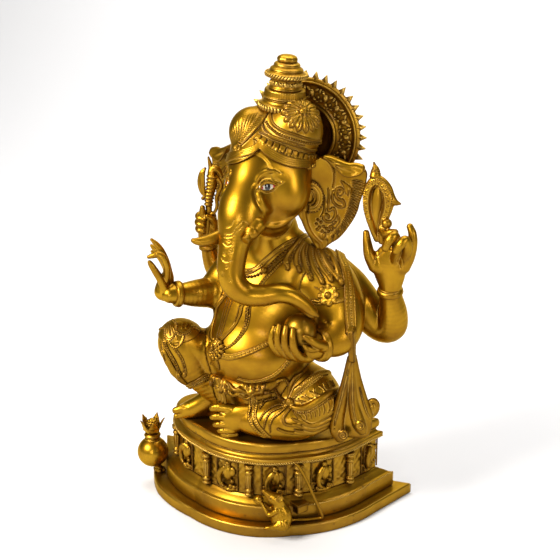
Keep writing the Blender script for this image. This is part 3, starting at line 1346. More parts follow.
CROWN_FOOT, CROWN_AXIS = np.array((31.0, 2, 536)), unit((6, -2, 64))
CROWN_X = unit(np.cross((0, 1, 0), CROWN_AXIS))
CROWN_Y = np.cross(CROWN_AXIS, CROWN_X)


def crown_frame(angle):
    """Outward, sideways and upward directions at an angle round the crown."""
    out = math.cos(angle) * CROWN_X + math.sin(angle) * CROWN_Y
    return np.stack([out, np.cross(CROWN_AXIS, out), CROWN_AXIS])


def crown_ball(r, angle, h, radii):
    """A ball at a radius, angle and height of the crown."""
    at = CROWN_FOOT + CROWN_AXIS * h + r * (math.cos(angle) * CROWN_X + math.sin(angle) * CROWN_Y)
    return ball_part(at, radii, crown_frame(angle))


def round_corner(a, b, c, radius, share):
    """Four points that round the corner b between a and c."""
    u, v = np.linalg.norm(a - b), np.linalg.norm(c - b)
    r = min(radius, u * share, v * share)
    s, e = b + (a - b) / u * r, b + (c - b) / v * r
    return [(1 - t) ** 2 * s + 2 * t * (1 - t) * b + t * t * e for t in np.linspace(0, 1, 4)]


def softened(profile):
    """A turned profile with its corners slightly rounded."""
    p = np.asarray(profile, float)
    out = [p[0]]
    for a, b, c in zip(p, p[1:], p[2:]):
        out += round_corner(a, b, c, 0.9, 0.35)
    return np.array(out + [p[-1]])


def turned_crown(profile, ripple=None):
    """A turned part round the crown's axis."""
    return lathe(softened(profile), 144, CROWN_FOOT, CROWN_AXIS, ripple)


base_parts = [turned_crown([(14, -6), (27, -6), (30, -1), (30.6, 2), (29, 6), (26, 7.5), (25, 10),
                            (23.5, 11), (23.5, 12.6), (16, 13)])]
for i in range(44):
    base_parts.append(crown_ball(30.2, around(i, 44), 2.2, (2.1, 2.15, 3.6)))
fluted = lambda a, i: 1 + 0.012 * np.cos(52 * a)
base_parts.append(turned_crown([(16, 12.8), (25.4, 12.8), (26.2, 14.4), (24.6, 15.4), (24.4, 21.6),
                                (23.6, 23), (16, 23.2)], ripple=fluted))
solid_piece("crown_base_turned", base_parts, ORNAMENT, "crown_base", slot="ornament_brass")

drum_parts = [turned_crown([(12, 23), (19.6, 23), (20, 24.6), (18.8, 26), (17.6, 31), (17.9, 35),
                            (19, 36), (19, 37), (12, 37.2)])]
for i in range(9):
    a = around(i, 9, 0.2)
    drum_parts.append(crown_ball(18.2, a, 30.4, (1.6, 3.4, 3.6)))
    drum_parts.append(crown_ball(19.2, a, 30.4, (1.3, 1.5, 1.6)))
    for s in (-1, 1):
        drum_parts.append(crown_ball(18.0, a + s * 0.245, 30.2, (1.2, 1.0, 3.4)))
    drum_parts.append(crown_ball(18.2, a + 0.35, 30.2, (1.3, 1.2, 2.2)))
solid_piece("crown_drum_relief", drum_parts, ORNAMENT, "crown_drum", slot="ornament_brass")

finial_parts = [turned_crown([(12, 36.6), (22, 36.6), (24.4, 38), (25, 40.4), (23.6, 42.6),
                              (20.4, 44), (19.6, 45.4), (20.2, 46.4), (19.4, 48), (16.8, 49.6),
                              (15.6, 50.8), (16, 52), (15.2, 53.6), (11.6, 55.6)])]
for i in range(40):
    a = around(i, 40)
    f = crown_frame(a)
    lean = unit(f[2] + 0.9 * f[1])
    at = CROWN_FOOT + CROWN_AXIS * 40.4 + 24.4 * f[0]
    finial_parts.append(ball_part(at, (1.9, 1.5, 3.6), np.stack([f[0], np.cross(lean, f[0]), lean])))
finial_parts.append(turned_crown([(4, 54.6), (10.6, 55), (12.2, 57.2), (12.2, 59.4), (10.6, 61.8),
                                  (7.4, 63.3), (3, 64)], ripple=lambda a, i: 1 + 0.03 * np.cos(9 * a)))
solid_piece("crown_finial_turned", finial_parts, ORNAMENT, "crown_finial", slot="ornament_brass")

HALO_MIDDLE, HALO_RADIUS, RAYS = np.array((43.0, 52.0, 496.0)), 79.0, 36


def halo_frame(angle):
    """Outward, sideways and forward directions at an angle round the halo."""
    return np.array([(math.cos(angle), 0, math.sin(angle)), (-math.sin(angle), 0, math.cos(angle)),
                     (0, -1, 0)])


def halo_ball(r, angle, forward, radii, turn):
    """A ball in front of the halo at a radius and angle, its long axis along the angle turn."""
    at = HALO_MIDDLE + np.array((r * math.cos(angle), -forward, r * math.sin(angle)))
    return ball_part(at, radii, halo_frame(turn))


dish_profile = [(2, 1.0), (12, 1.2), (22, 1.9), (30, 3.2), (34.5, 5.4), (36.4, 8), (38.4, 8.6),
                (40.2, 7.6), (41, 5.2), (44, 4.6), (52, 4.8), (60, 4.4), (62.4, 5.2), (63.6, 6.6),
                (65.4, 6.8), (66.4, 5.6), (66.4, 0), (60, -0.6), (30, -0.6), (2, -0.6)]
dish_parts = [lathe(softened(dish_profile), 160, HALO_MIDDLE, (0, -1, 0))]
for i in range(18):
    a = around(i, 18)
    b = a + math.pi / 18
    dish_parts.append(halo_ball(52.6, a, 6.0, (5.4, 3.7, 4.0), a))
    dish_parts.append(halo_ball(53.0, a, 9.0, (2.0, 2.0, 2.0), a))
    for s in (-1, 1):
        side = a + s * 0.085
        dish_parts.append(halo_ball(57.4, side, 5.6, (3.9, 1.9, 2.8), a + s * 0.9))
        dish_parts.append(halo_ball(47.0, side, 5.6, (3.6, 1.8, 2.6), a - s * 0.9))
    for r, radii in ((57.2, (4.0, 2.1, 3.2)), (50.0, (2.3, 2.3, 3.0)), (44.6, (1.8, 1.8, 2.4))):
        dish_parts.append(halo_ball(r, b, 5.0, radii, b))
solid_piece("halo_dish_relief", dish_parts, ORNAMENT, "halo_dish", slot="ornament_brass")

ray_parts = [lathe(softened([(65, 0.6), (65, 4.4), (67, 5.0), (70.6, 4.4), (70.6, 0.6), (66, 0.2)]), 160,
                   HALO_MIDDLE, (0, -1, 0))]
for i in range(RAYS):
    f = halo_frame(around(i, RAYS))
    wide, tip = 5.9, HALO_RADIUS
    flat = ((67, -wide), (tip - 1.5, -0.9), (tip, 0), (tip - 1.5, 0.9), (67, wide))
    low = np.array([HALO_MIDDLE + x * f[0] + y * f[1] + 0.8 * f[2] for x, y in flat])
    high = np.array([HALO_MIDDLE + x * f[0] + y * f[1] + 3.0 * f[2] for x, y in flat])
    crest = np.array([HALO_MIDDLE + x * f[0] + 5.0 * f[2] for x in (67, tip - 3)])
    pts = np.vstack([low, high, crest])
    quads = np.array([(0, 1, 6, 5), (1, 2, 7, 6), (2, 3, 8, 7), (3, 4, 9, 8), (5, 6, 11, 10),
                      (8, 9, 10, 11)])
    tris = np.array([(6, 7, 11), (7, 8, 11), (5, 10, 0), (10, 9, 4), (0, 10, 4), (2, 1, 3),
                     (1, 0, 3), (3, 0, 4)])
    ray_parts.append((pts, [quads, tris]))
solid_piece("halo_ray_ring", ray_parts, ORNAMENT, "halo_rays", slot="ornament_brass")


# ---------------------------------------------------------------- hands and what they hold
def digits(form, *fingers, blend=1.0, root=3.0):
    """Fingers that stay apart from each other and grow out of the palm."""
    group = Form()
    for points in fingers:
        group.add(tube(points, 0, 6), blend)
    form.add(group, root)
    return form


def creases(form, points, at, radius, depth=0.45):
    """Fine lines across a finger at fractions of its length."""
    s = spline(points, 10)
    for t in at:
        i = min(int(t * (len(s) - 1)), len(s) - 2)
        form.cut(hoop(s[i, :3], s[i + 1, :3] - s[i, :3], radius * s[i, 3], depth), 0.4)


def band(centre, axis, radius, thick, groove=True):
    """A bangle: a wide half-round ring with a groove cut near one edge."""
    c, n = np.asarray(centre, float), unit(axis)
    ring = Form(hoop(c, n, radius, thick))
    ring.add(hoop(c + n * thick * 0.9, n, radius, thick * 0.8), thick * 0.5)
    if groove:
        ring.cut(hoop(c + n * thick * 0.75, n, radius + thick * 0.98, thick * 0.16), 0.3)
        ring.cut(hoop(c - n * thick * 0.55, n, radius + thick * 0.86, thick * 0.12), 0.3)
    return ring


# Front right hand, raised, with the first finger bent to the thumb
hand = Form(tube([(-93, -50, 303, 12.4), (-102, -51, 303.5, 12.2), (-110, -52, 305, 10.8)], 0, 3))
hand.add(tube([(-110, -53, 304, 10), (-109.5, -51, 313, 9.6), (-106.5, -48, 322, 8.6)], 0, 3), 4)
hand.add(tube([(-111, -40, 305, 8.4), (-110, -38, 316, 7.6), (-110, -38, 324, 6.4)], 0, 3), 6)
FIRST_FINGER = [(-105.7, -56, 314.9, 4.7), (-100.9, -60, 328.6, 4.7), (-98.3, -64, 342, 4.6),
                (-101.2, -66, 352.9, 4.5), (-106.9, -68, 358.5, 4.1), (-112.6, -71, 357.3, 3.7),
                (-118.5, -73, 355.3, 2.4)]
THUMB = [(-104, -60, 310, 5.2), (-107.4, -65, 324.7, 4.9), (-111.4, -70, 336.5, 4.5),
         (-115.2, -73, 345.3, 3.8), (-117, -74, 349.2, 2.6)]
MIDDLE_FINGER = [(-103.1, -48, 315, 4.8), (-102.6, -50, 329.7, 4.7), (-105.4, -51, 344, 4.5),
                 (-110.4, -52.5, 357.2, 4.3), (-116.2, -54, 366, 3.7), (-121.9, -56, 372.5, 2.0)]
digits(hand, FIRST_FINGER, THUMB, MIDDLE_FINGER,
       [(-105.8, -41, 312.5, 4.6), (-106.7, -42, 327.2, 4.5), (-110.8, -43, 341.4, 4.3),
        (-116.3, -45, 352.2, 4.0), (-122.7, -47, 358.1, 3.3), (-126.4, -48, 362.1, 2.0)],
       [(-109.7, -34, 309.8, 4.1), (-111.9, -35, 324.4, 4.1), (-116.1, -36, 335.2, 3.8),
        (-121.5, -38, 344.8, 3.3), (-126.3, -40, 348.5, 2.6), (-129.5, -41, 352.1, 1.8)])
creases(hand, THUMB, (0.58,), 1.0)
creases(hand, FIRST_FINGER, (0.5, 0.76), 1.0)
hand.cut(tube(spline([(-113, -64, 316), (-109, -62, 322), (-106, -63, 333)], 5), 0.6, 1), 1.0)
form_piece("hand_front_right_cast", hand, GOLD, "hand_front_right", step=0.7, slot="figure_brass")

# Rear right hand closed round the axe, first finger up
hand = Form(tube([(-80.5, 25, 346, 9.8), (-79.5, 24.5, 354, 10.2), (-78, 24, 365, 10.6),
                  (-77.2, 24, 376, 10), (-75, 22.5, 386, 7.4)], 0))
digits(hand, [(-85, 19, 356, 6.2), (-83.7, 15, 371, 5.8), (-82.3, 12, 388, 5.0), (-81, 10, 400.3, 3.4)],
       [(-84, 24, 390, 3.8), (-90, 17, 388, 3.9), (-86, 10, 386, 3.6), (-79, 9, 385, 3.0)],
       [(-84, 25, 382, 4.0), (-91, 18, 379.5, 4.1), (-87, 11, 377.5, 3.8), (-80, 10, 376.5, 3.0)],
       [(-84, 25, 373.5, 4.0), (-91, 19, 370.6, 4.1), (-87, 12, 369, 3.8), (-81, 11.5, 368, 3.0)])
digits(hand, [(-72, 26, 366, 5.6), (-68, 20, 377, 4.9), (-69, 13, 386, 4.2), (-74, 8.5, 390, 3.0)])
form_piece("hand_rear_right_cast", hand, GOLD, "hand_rear_right", step=0.75, slot="figure_brass")

axe = Form(tube([(-78, 15, 360, 3.0), (-75, 16, 392, 3.8), (-73.7, 14, 408.6, 4.8),
                 (-70.9, 14, 422.8, 5.8), (-68, 14, 437, 6.8), (-69, 14, 446, 5.4)], 0))
for k in range(9):
    z = 404 + 4.6 * k
    axe.add(hoop((-74.4 + 0.17 * (z - 404), 14, z), (0.17, 0, 1), 4.6 + 0.055 * (z - 404), 1.1), 0.7)
axe.add(tube([(-68, 14, 448, 4.0), (-64, 14.5, 452, 4.4), (-59, 16, 447, 3.2), (-56, 16, 441, 1.6)], 0), 2)
axe.add(tube([(-69.5, 14, 450, 3.6), (-71, 13.5, 458, 2.6), (-72.6, 13, 465.5, 1.4)], 0), 2)
axe.add(loft([(-76, 10, 452, 1.6, 1.4), (-79.8, 8.5, 445, 4.2, 1.9), (-81, 8, 434, 5.4, 2.0),
              (-79.8, 8, 423.5, 4.4, 1.9), (-77, 8.5, 416, 1.8, 1.4)], up=(0, 1, 0)), 1.6)
axe.add(tube([(-79, 7.2, 447, 0.8), (-81.8, 6.2, 434, 1.0), (-79.6, 6.6, 421, 0.8)], 0), 0.6)
axe.add(ovoid((-79.2, 8.5, 413), 2.6), 0.8)
axe.add(tube([(-62, 14, 441, 2.4), (-56, 14, 431, 2.2), (-59.5, 14, 422.2, 2.5), (-62.8, 14, 414.2, 2.7),
              (-62.6, 14, 403.3, 2.4), (-66.2, 15, 394.9, 2.2), (-72, 15.5, 390, 2.4)], 0), 1.5)
form_piece("axe_cast", axe, ORNAMENT, "axe", step=0.7, slot="ornament_brass")

# Rear left hand with the noose
hand = Form(loft([(165.5, 15, 316, 12.4, 12.0), (165.5, 14, 326, 15.5, 11.6),
                  (165, 11.5, 338, 19.5, 10.6), (164.6, 9, 350, 20.5, 9.6), (165.5, 8, 361, 18.5, 8.0),
                  (167, 7, 368, 15, 6.0)], up=(0, 1, 0)))
BENT_FINGER = [(172.5, 5, 358, 6.4), (177.4, -5, 377, 6.6), (175.1, -12, 393.6, 6.3),
               (170.6, -17, 389.4, 6.0), (165.7, -17, 379.9, 5.2)]
NEXT_BENT_FINGER = [(182.6, 5, 358, 6.2), (189.6, -5, 376, 6.2), (188.2, -11, 389.6, 5.9),
                    (183.2, -16, 384.6, 5.7), (178.4, -15.6, 376.9, 5.0)]
digits(hand, [(147.5, 6, 348, 8.2), (141.4, 3, 362, 7.2), (137.8, 4, 377, 5.6), (135.6, 6, 389, 4.0)],
       [(182.8, 9, 350, 8.4), (189.4, 6, 364, 7.4), (193.6, 3.6, 380, 6.2), (193.6, 2.4, 394, 5.2),
        (189.8, 4, 402.6, 4.1)], blend=0.8, root=5)
digits(hand, BENT_FINGER, NEXT_BENT_FINGER, blend=0.3, root=1.5)
for finger in (BENT_FINGER, NEXT_BENT_FINGER):
    creases(hand, finger, (0.82, 0.86), 1.0, 0.4)
palm_face = hand.copy()
for pts in ([(160, -2, 372), (152, -3, 362), (148, -3, 350)],
            [(178.6, -4, 370), (176.6, -3, 361), (180, -3, 351), (184.4, -3, 349)],
            [(178.6, -4, 370), (183.6, -4, 362), (184.4, -3, 349)], [(179.8, -4, 366), (183.6, -3, 351)]):
    hand.cut(reed(laid_path(palm_face, pts, 5), 0.8), 0.6)
form_piece("hand_rear_left_cast", hand, GOLD, "hand_rear_left", step=0.75, slot="figure_brass")

noose = Form(loft([(155, 8, 380, 4.6, 4.2), (154.8, 8, 392, 5.0, 4.2), (156.6, 8.4, 407, 5.6, 4.4),
                   (160, 9, 420, 6.6, 4.8), (161.6, 9, 432, 7.4, 5.2), (159, 9, 444, 7.2, 5.2),
                   (152, 10, 452.5, 6.4, 5.2), (144.4, 10.5, 454.6, 6.0, 5.2),
                   (137.4, 9.5, 446.5, 5.4, 4.8), (134.6, 8.5, 434, 5.0, 4.4),
                   (135.4, 8, 420, 4.8, 4.2), (138.6, 8, 407, 4.4, 4.0), (144, 8, 392, 4.0, 3.8),
                   (149, 8, 382, 4.2, 3.8)], up=(0, 1, 0)))
noose.add(loft([(147, 12.5, 446, 4.0, 3.0), (146.6, 12.5, 434, 8.0, 4.6), (145.4, 12, 420, 8.0, 4.8),
                (146, 12, 406, 5.8, 4.0), (147.6, 11, 392, 3.0, 3.0)], up=(0, 1, 0)), 1.2)
noose.add(tube([(163.7, 9, 434, 5.8), (169.7, 8.4, 429.6, 4.0), (175.9, 8, 428.4, 1.5)], 0), 3)
noose.add(ovoid((162, 1.5, 404.3), 6.4), 0.5)
noose.add(tube([(156, 6, 396, 4.4), (160, 0, 392, 4.8), (167, -3, 394.5, 5.0), (174, -5, 396.5, 4.2)],
               0), 2)
noose.add(hoop((143.9, 11, 458.6), (0, 0.2, 1), 4.8, 2.4), 1)
noose.add(tube([(143.8, 11.4, 462, 6.6), (143.6, 11.6, 467, 4.6), (142.6, 12, 471, 2.4),
                (141.4, 12, 475, 1.3)], 0), 0.8)
NOOSE = noose.copy()
outer = spline([(158, 3.4, 398), (162, 3.4, 411), (165.6, 3.6, 424), (166.6, 3.6, 438), (161, 3.8, 449),
                (151, 4.6, 456.4), (140, 5, 453), (132, 4.6, 443), (130.6, 4, 430), (132, 4, 416),
                (136, 4, 403)], 12)
inner = spline([(152.4, 3.4, 396), (152.6, 3.4, 407), (156.6, 3.6, 420), (156.8, 3.6, 434),
                (152, 3.8, 444.6), (145.4, 4.6, 449), (140, 5, 443), (138, 4.6, 432), (138.8, 4, 419),
                (141.6, 4, 407)], 12)
bead_string(noose, on_surface(NOOSE, outer, 0.0)[0], 2.6, 1.05, 0.4)
noose.add(tube(on_surface(NOOSE, inner, 0.2)[0], 0.95, 1), 0.5)
middle = np.array([(outer[int(i * (len(outer) - 1) / 60)] + inner[int(i * (len(inner) - 1) / 60)]) / 2
                   for i in range(61)])
wander = 1.3 * np.stack([np.sin(np.arange(61) * 1.9), np.zeros(61), np.cos(np.arange(61) * 1.9)], 1)
noose.add(beads(on_surface(NOOSE, middle + wander, -0.2)[0], 0.95), 0.5)
for k in range(3):
    noose.cut(hoop((143.6, 11.5, 463.6 + 2.2 * k), (0, 0.1, 1), 6.0 - 1.1 * k, 0.4), 0.3)
form_piece("noose_cast", noose, ORNAMENT, "noose", step=0.7, slot="ornament_brass")

# Front left hand round the sweet
hand = Form(tube([(100, -43, 259.5, 13.4), (92, -52, 254.5, 12.4), (80, -60, 250.5, 10.8),
                  (67, -65, 252, 9.2)], 0))
hand.add(tube([(98, -50, 262, 10), (103, -60, 262, 7.4)], 0, 2), 5)
HOLDING_FINGERS = [
    [(61, -64, 246, 5.0), (53.4, -77, 253.4, 4.8), (47.6, -85, 266, 4.5), (46.9, -87, 278.5, 4.2),
     (49.6, -85, 288.6, 3.3)],
    [(69, -64, 244.6, 5.2), (61.6, -78.4, 252.6, 5.0), (56.4, -87, 266.4, 4.6), (55.3, -89, 280.3, 4.3),
     (56.1, -85.6, 291.8, 3.3)],
    [(76.6, -62, 243.6, 5.4), (69.7, -78.6, 252.2, 5.2), (65.6, -88, 266.4, 4.8), (64.5, -90, 280.2, 4.4),
     (64.7, -85.6, 291.2, 3.4)],
    [(85, -60, 243.6, 5.6), (79, -77, 251.8, 5.4), (75.4, -87, 265.9, 4.9), (74.2, -89, 278.2, 4.5),
     (73, -84.6, 288.2, 3.4)]]
digits(hand, *HOLDING_FINGERS, blend=0.3, root=4)
digits(hand, [(103, -60, 262, 6.6), (100.4, -72, 268.6, 5.6), (94.6, -80, 275.4, 4.9),
              (87.6, -83.6, 280.4, 3.2)],
       [(98, -70, 262, 4.6), (92, -79, 264, 4.2), (86.4, -82, 268.6, 2.6)], blend=0.6, root=3)
for finger in HOLDING_FINGERS:
    creases(hand, finger, (0.44, 0.72), 1.0, 0.4)
form_piece("hand_front_left_cast", hand, GOLD, "hand_front_left", step=0.75, slot="figure_brass")

sweet = Form(ovoid((74, -62, 279), (20.5, 19.5, 21.5)))
form_piece("sweet_ball", sweet, RELIEF, "sweet", step=0.9, slot="ornament_brass")

rings = band((-90.6, -49.2, 302.6), (-19, -18, 3), 13.4, 3.6)
rings.add(band((-80, 26.2, 344), (-1, -1, 10), 10.8, 2.5))
rings.add(band((97, -46, 257.4), (-16, -22, 3), 16.4, 4.6))
rings.add(band((165, 17, 313.5), (0, -2.5, 10), 13.6, 2.9, groove=False))
rings.add(hoop((165, 15.6, 319.4), (0, -2.5, 10), 12.6, 1.7))
form_piece("bangle_rings", rings, ORNAMENT, "bangles", step=0.7, slot="ornament_brass")

# Flower armlet on the upper left arm
ARM_SKIN = body_form("arm_front_left")
at = (99.6, -25.7, 314.8)
c, n, right, up = frame_at(ARM_SKIN, at)
armlet = Form(disc(c + n * 0.6, n, 8.5, 1.8, edge=1.0))
for i in range(8):
    a = around(i, 8, 0.2)
    p = c + 9.6 * (math.cos(a) * right + math.sin(a) * up)
    p = on_surface(ARM_SKIN, [p], 0.8)[0][0]
    d = unit(p - c)
    armlet.add(loft([(*(p - d * 4.6), 2.0, 1.5), (*p, 3.9, 2.1), (*(p + d * 2.4), 3.7, 1.8)], up=n), 0.4)
    armlet.cut(tube([p - d * 3 + n * 2.2, p + d * 3 + n * 2.0], 0.6, 2), 0.3)
armlet.add(ovoid(c + n * 2.4, 4.4), 0.4)
armlet.cut(hoop(c + n * 3.2, n, 5.0, 0.6), 0.4)
for k, dz in enumerate((-7.5, -10.5, 8.5)):
    ring = laid_path(ARM_SKIN, [(70, -9, 309 + dz), (80, -17, 310.6 + dz), (92, -25, 313 + dz),
                                (104, -27, 316 + dz), (114, -25, 318 + dz), (122, -18, 320 + dz)], 6, 0.4)
    armlet.add(tube(ring, 1.2 if k else 1.6, 1), 0.5)
bead_string(armlet, laid_path(ARM_SKIN, [(70, -9, 304), (80, -17, 305.6), (90, -24, 307), (98, -27, 308)],
                              8, 0.9), 2.9, 1.3)
form_piece("armlet_flower", armlet, ORNAMENT, "armlet", step=0.6, slot="ornament_brass")


# ---------------------------------------------------------------- jewellery on the chest
WHOLE = TORSO.copy().add(HEAD, 8)
for name in ("arm_front_left", "arm_front_right", "arm_rear_right", "arm_rear_left", "raised_leg",
             "folded_leg"):
    WHOLE.add(BODY[name], JOINED["torso", name])


def cord(form, points, radius, lift=0.4, blend=0.6, base=WHOLE, steps=5):
    """A round cord laid on the body through the points."""
    form.add(tube(laid_path(base, points, steps, lift), radius, 1), blend)


def pearls(form, points, gap, radius, lift=0.8, base=WHOLE):
    """A row of beads laid on the body through the points."""
    bead_string(form, laid_path(base, points, 10, lift), gap, radius)


def strap(form, points, width, high, base=WHOLE, blend=1.0):
    """A flat band of cloth laid on the body, its middle line through the points."""
    path, normals = on_surface(base, spline(points, 4), 0.1)
    for i in range(len(path) - 1):
        a, b = path[i], path[i + 1]
        n = unit(normals[i] + normals[i + 1])
        t = unit(b - a)
        form.add(block((a + b) / 2, (np.linalg.norm(b - a) * 0.75, width, high), (t, np.cross(n, t), n),
                       edge=min(high, 1.2) * 0.9), blend)


necklace = Form()
NECK = np.array([(60, 14, 382), (55.2, -0.6, 379.4), (48.4, -12.9, 378), (41.1, -20.2, 374.3),
                 (30.4, -24.2, 366.6), (18.7, -24, 355.6), (7.8, -24, 346.3), (-2, -25, 339.4),
                 (-14, -25, 337), (-26, -22, 341), (-34, -8, 350), (-33, 8, 360)])
for k, r in ((0, 1.3), (1, 1.0), (2, 1.2)):
    cord(necklace, NECK + (0, -0.4 * k, -3.1 * k), r, 0.3)
pearls(necklace, [(54, -11, 370.5), (45.3, -18.6, 366.4), (38.3, -22.1, 361.4), (29.1, -23.6, 351.5),
                  (20.6, -24, 343.3), (12, -26, 335), (2, -27, 329), (-10, -28, 328)], 4.4, 2.0)
cord(necklace, [(54, -12, 366), (45, -19, 361.4), (37, -23, 355), (28, -24.6, 346), (19, -26, 338)],
     0.8, 0.2)
necklace.add(ovoid(on_surface(WHOLE, [(15.2, -24, 337.6)], 1.6)[0][0], 4.2), 0.4)
form_piece("necklace_rows", necklace, ORNAMENT, "necklace", step=0.65, slot="ornament_brass")

fringe = Form()
FRINGE = [((53, -6, 376), (46, -17.5, 364), (41.6, -22, 352), (43.4, -21.6, 346.5)),
          ((57.5, -5.6, 373.5), (53.5, -14.5, 362), (54, -18.6, 350), (57.2, -18.4, 343.6)),
          ((61, -4.6, 370.6), (60, -11.4, 362), (64.5, -15.6, 348), (73, -18.2, 334)),
          ((65.5, -1.7, 367.5), (69, -8.4, 357), (76.6, -14.4, 344), (87.4, -19.8, 332)),
          ((71.7, -0.7, 364), (77, -6.4, 355), (86, -13, 345), (97.6, -19, 335.4)),
          ((79, 0.6, 361.8), (85, -4.4, 354), (94, -11.4, 346), (105, -16.8, 337)),
          ((85.5, 8.7, 361.4), (92, 3.4, 356), (101, -6.4, 347.6), (110.6, -17, 333))]
for i, points in enumerate(FRINGE):
    path = laid_path(WHOLE, points, 7, 0.8)
    t = np.linspace(0, 1, len(path))
    fringe.add(tube(np.column_stack([path, 2.2 + 1.0 * np.sin(math.pi * t)]), 0, 1), 0.8)
    side = laid_path(WHOLE, np.array(points) + np.array((3.2, 0.4, 1.6)), 7, 1.5)
    bead_string(fringe, side, 2.9, 1.3)
    drop, n, _, _ = frame_at(WHOLE, points[-1])
    way = unit(np.array(points[-1]) - np.array(points[-2]))
    fringe.add(tube([(*(drop + n * 1.8 - way * 1.5), 2.4), (*(drop + n * 1.8 + way * 4), 3.5)], 0, 1), 0.5)
    if i < 6:
        nxt = np.array(FRINGE[i + 1])
        mid = (np.array(points) + nxt) / 2
        cord(fringe, mid[:3], 1.4, 0.0, 0.8)
for k in range(5):
    cord(fringe, [(68 + 4 * k, 4 + 2.6 * k, 369 - 1.6 * k), (84 + 4 * k, 3 + 2.4 * k, 361 - 1.2 * k),
                  (97 + 3.6 * k, -1 + 2.4 * k, 354 - k), (107 + 3 * k, -9 + 3 * k, 343.6 + k)],
         1.5, 0.3, 1.2)
form_piece("shoulder_fringe_drops", fringe, CLOTH, "shoulder_fringe", step=0.65, slot="cloth_brass")

thread = Form()
LINE_A = [(-18, -30, 318), (-32.9, -27, 302.7), (-42, -28, 291), (-50, -30, 279), (-54, -33, 264),
          (-50, -46, 250), (-42, -53, 243)]
LINE_B = [(10, -38, 310), (-6, -42.9, 296.8), (-8.7, -48, 285.8), (-15.8, -53.4, 271.1),
          (-27.7, -55.5, 255.6), (-34, -56.5, 246)]
LINE_C = [(55.9, -8.1, 368), (44, -20, 356), (32, -23, 345), (17.9, -28, 328), (8, -37, 311),
          (1.4, -44.6, 294.9), (1.4, -50.9, 281.4), (-2.2, -56.3, 267.1), (-13.1, -60.8, 250.4),
          (-24, -61, 242), (-32, -59, 239)]
for line, r in ((LINE_A, 1.9), (LINE_B, 1.8)):
    cord(thread, line, r, 0.4, 1.6)
cord(thread, np.array(LINE_A) + (-4.6, 3.4, -1.5), 1.4, 0.1, 1.6)
cord(thread, np.array(LINE_B) + (-4.4, 1.6, -1.5), 1.2, 0.1, 1.4)
pearls(thread, LINE_C, 3.3, 1.75, 1.0)
cord(thread, np.array(LINE_C) + (3.0, 0.6, 1.0), 0.9, 0.3)
cord(thread, np.array(LINE_C) + (-3.0, -0.4, -1.0), 0.9, 0.3)
for k in range(3):
    cord(thread, [(-22 - 6 * k, -34, 306 - 4 * k), (-27 - 6 * k, -42, 288 - 4 * k),
                  (-32 - 5 * k, -48, 270 - 4 * k), (-35 - 3 * k, -54, 254 - 2 * k)], 0.8, 0.0, 0.8)
form_piece("thread_rows", thread, ORNAMENT, "sacred_thread", step=0.7, slot="ornament_brass")

belt = Form()
BELT = np.array([(-26, -60.5, 234), (-15.5, -64.1, 234.6), (0.2, -63.6, 240.4), (16.6, -59.2, 247.6),
                 (32.4, -50.4, 256.8), (46, -40, 266), (58, -26, 272)])
for shift, r in (((0, 0, 1.8), 1.2), ((0, 0, -4.4), 1.2)):
    cord(belt, BELT + shift, r, 0.5, 0.5)
strap(belt, BELT + (0, 0, -1.3), 3.2, 1.3)
pearls(belt, BELT + (0, 0, -1.3), 2.6, 0.95, 1.3)
HIP = np.array([(-8, -66, 200), (6, -65.6, 197.4), (16.3, -64.1, 198.3), (27.3, -60.3, 201.8),
                (38.6, -54, 210), (48.5, -44.1, 225.8), (57, -34, 238), (62, -22, 246)])
strap(belt, HIP, 3.6, 1.4)
for dz in (-3.4, 3.4):
    cord(belt, HIP + (dz * 0.35, 0, dz), 1.1, 0.5, 0.4)
pearls(belt, HIP, 3.2, 1.4, 1.4)
c, n, right, up = frame_at(WHOLE, (-37, -57, 238.5))
belt.add(ovoid(c - n * 1.5, (12, 6, 13)), 2)
for ring, (count, r, size) in enumerate(((12, 12.2, 2.9), (9, 8.2, 2.6), (6, 4.4, 2.1))):
    for i in range(count):
        a = around(i, count, 0.3 * ring)
        p = c + n * (1.6 + 2.0 * ring) + r * (math.cos(a) * right + math.sin(a) * up)
        belt.add(ovoid(p, size), 0.4)
wound = spiral(2.2, 1.0, 10.5)
belt.add(tube(c + n * 4.6 + wound[:, :1] * right + wound[:, 1:] * up, 1.15, 1), 0.4)
belt.add(ovoid(c + n * 7.4, 2.4), 0.4)
for k in range(5):
    a = c - up * (8 + 1.5 * k) + right * (2 * k - 6)
    cord(belt, [a, a - up * 9 + right * 2, a - up * 18 - right * (3 - k)], 1.6, 0.4, 0.6)
form_piece("belt_rows", belt, ORNAMENT, "belt", step=0.65, slot="ornament_brass")


# ---------------------------------------------------------------- cloth
sash = Form()
SASH = np.array([(97, 22, 354), (106, 6, 350), (113, -3.2, 341), (119.6, -12.4, 331), (123.4, -20, 318),
                 (126.4, -27, 303), (129, -32, 288), (131, -37, 274)])
strap(sash, SASH, 6.4, 2.0, blend=2)
for off in (-6.0, -2.6, 2.8, 6.0):
    cord(sash, SASH + np.array((0.92, 0.4, 0)) * off, 1.25, 1.8, 0.8)
pearls(sash, SASH + (0.2, 0, 0), 3.0, 1.0, 2.2)
sash.add(tube([(131, -36, 276, 6), (131, -31, 262, 5.4), (130, -26, 247, 4.8), (130, -24, 234, 4.8)],
              0), 2.5)
for off in (-2.6, 0.6, 3.6):
    sash.add(tube([(131 + off, -42, 276, 2.0), (131 + off * 0.9, -36.6, 262, 1.8),
                   (130 + off * 0.8, -31, 247, 1.7), (130 + off * 0.8, -28.6, 234, 1.7)], 0), 0.8)
form_piece("sash_band", sash, CLOTH, "shoulder_sash", step=0.8, slot="cloth_brass")

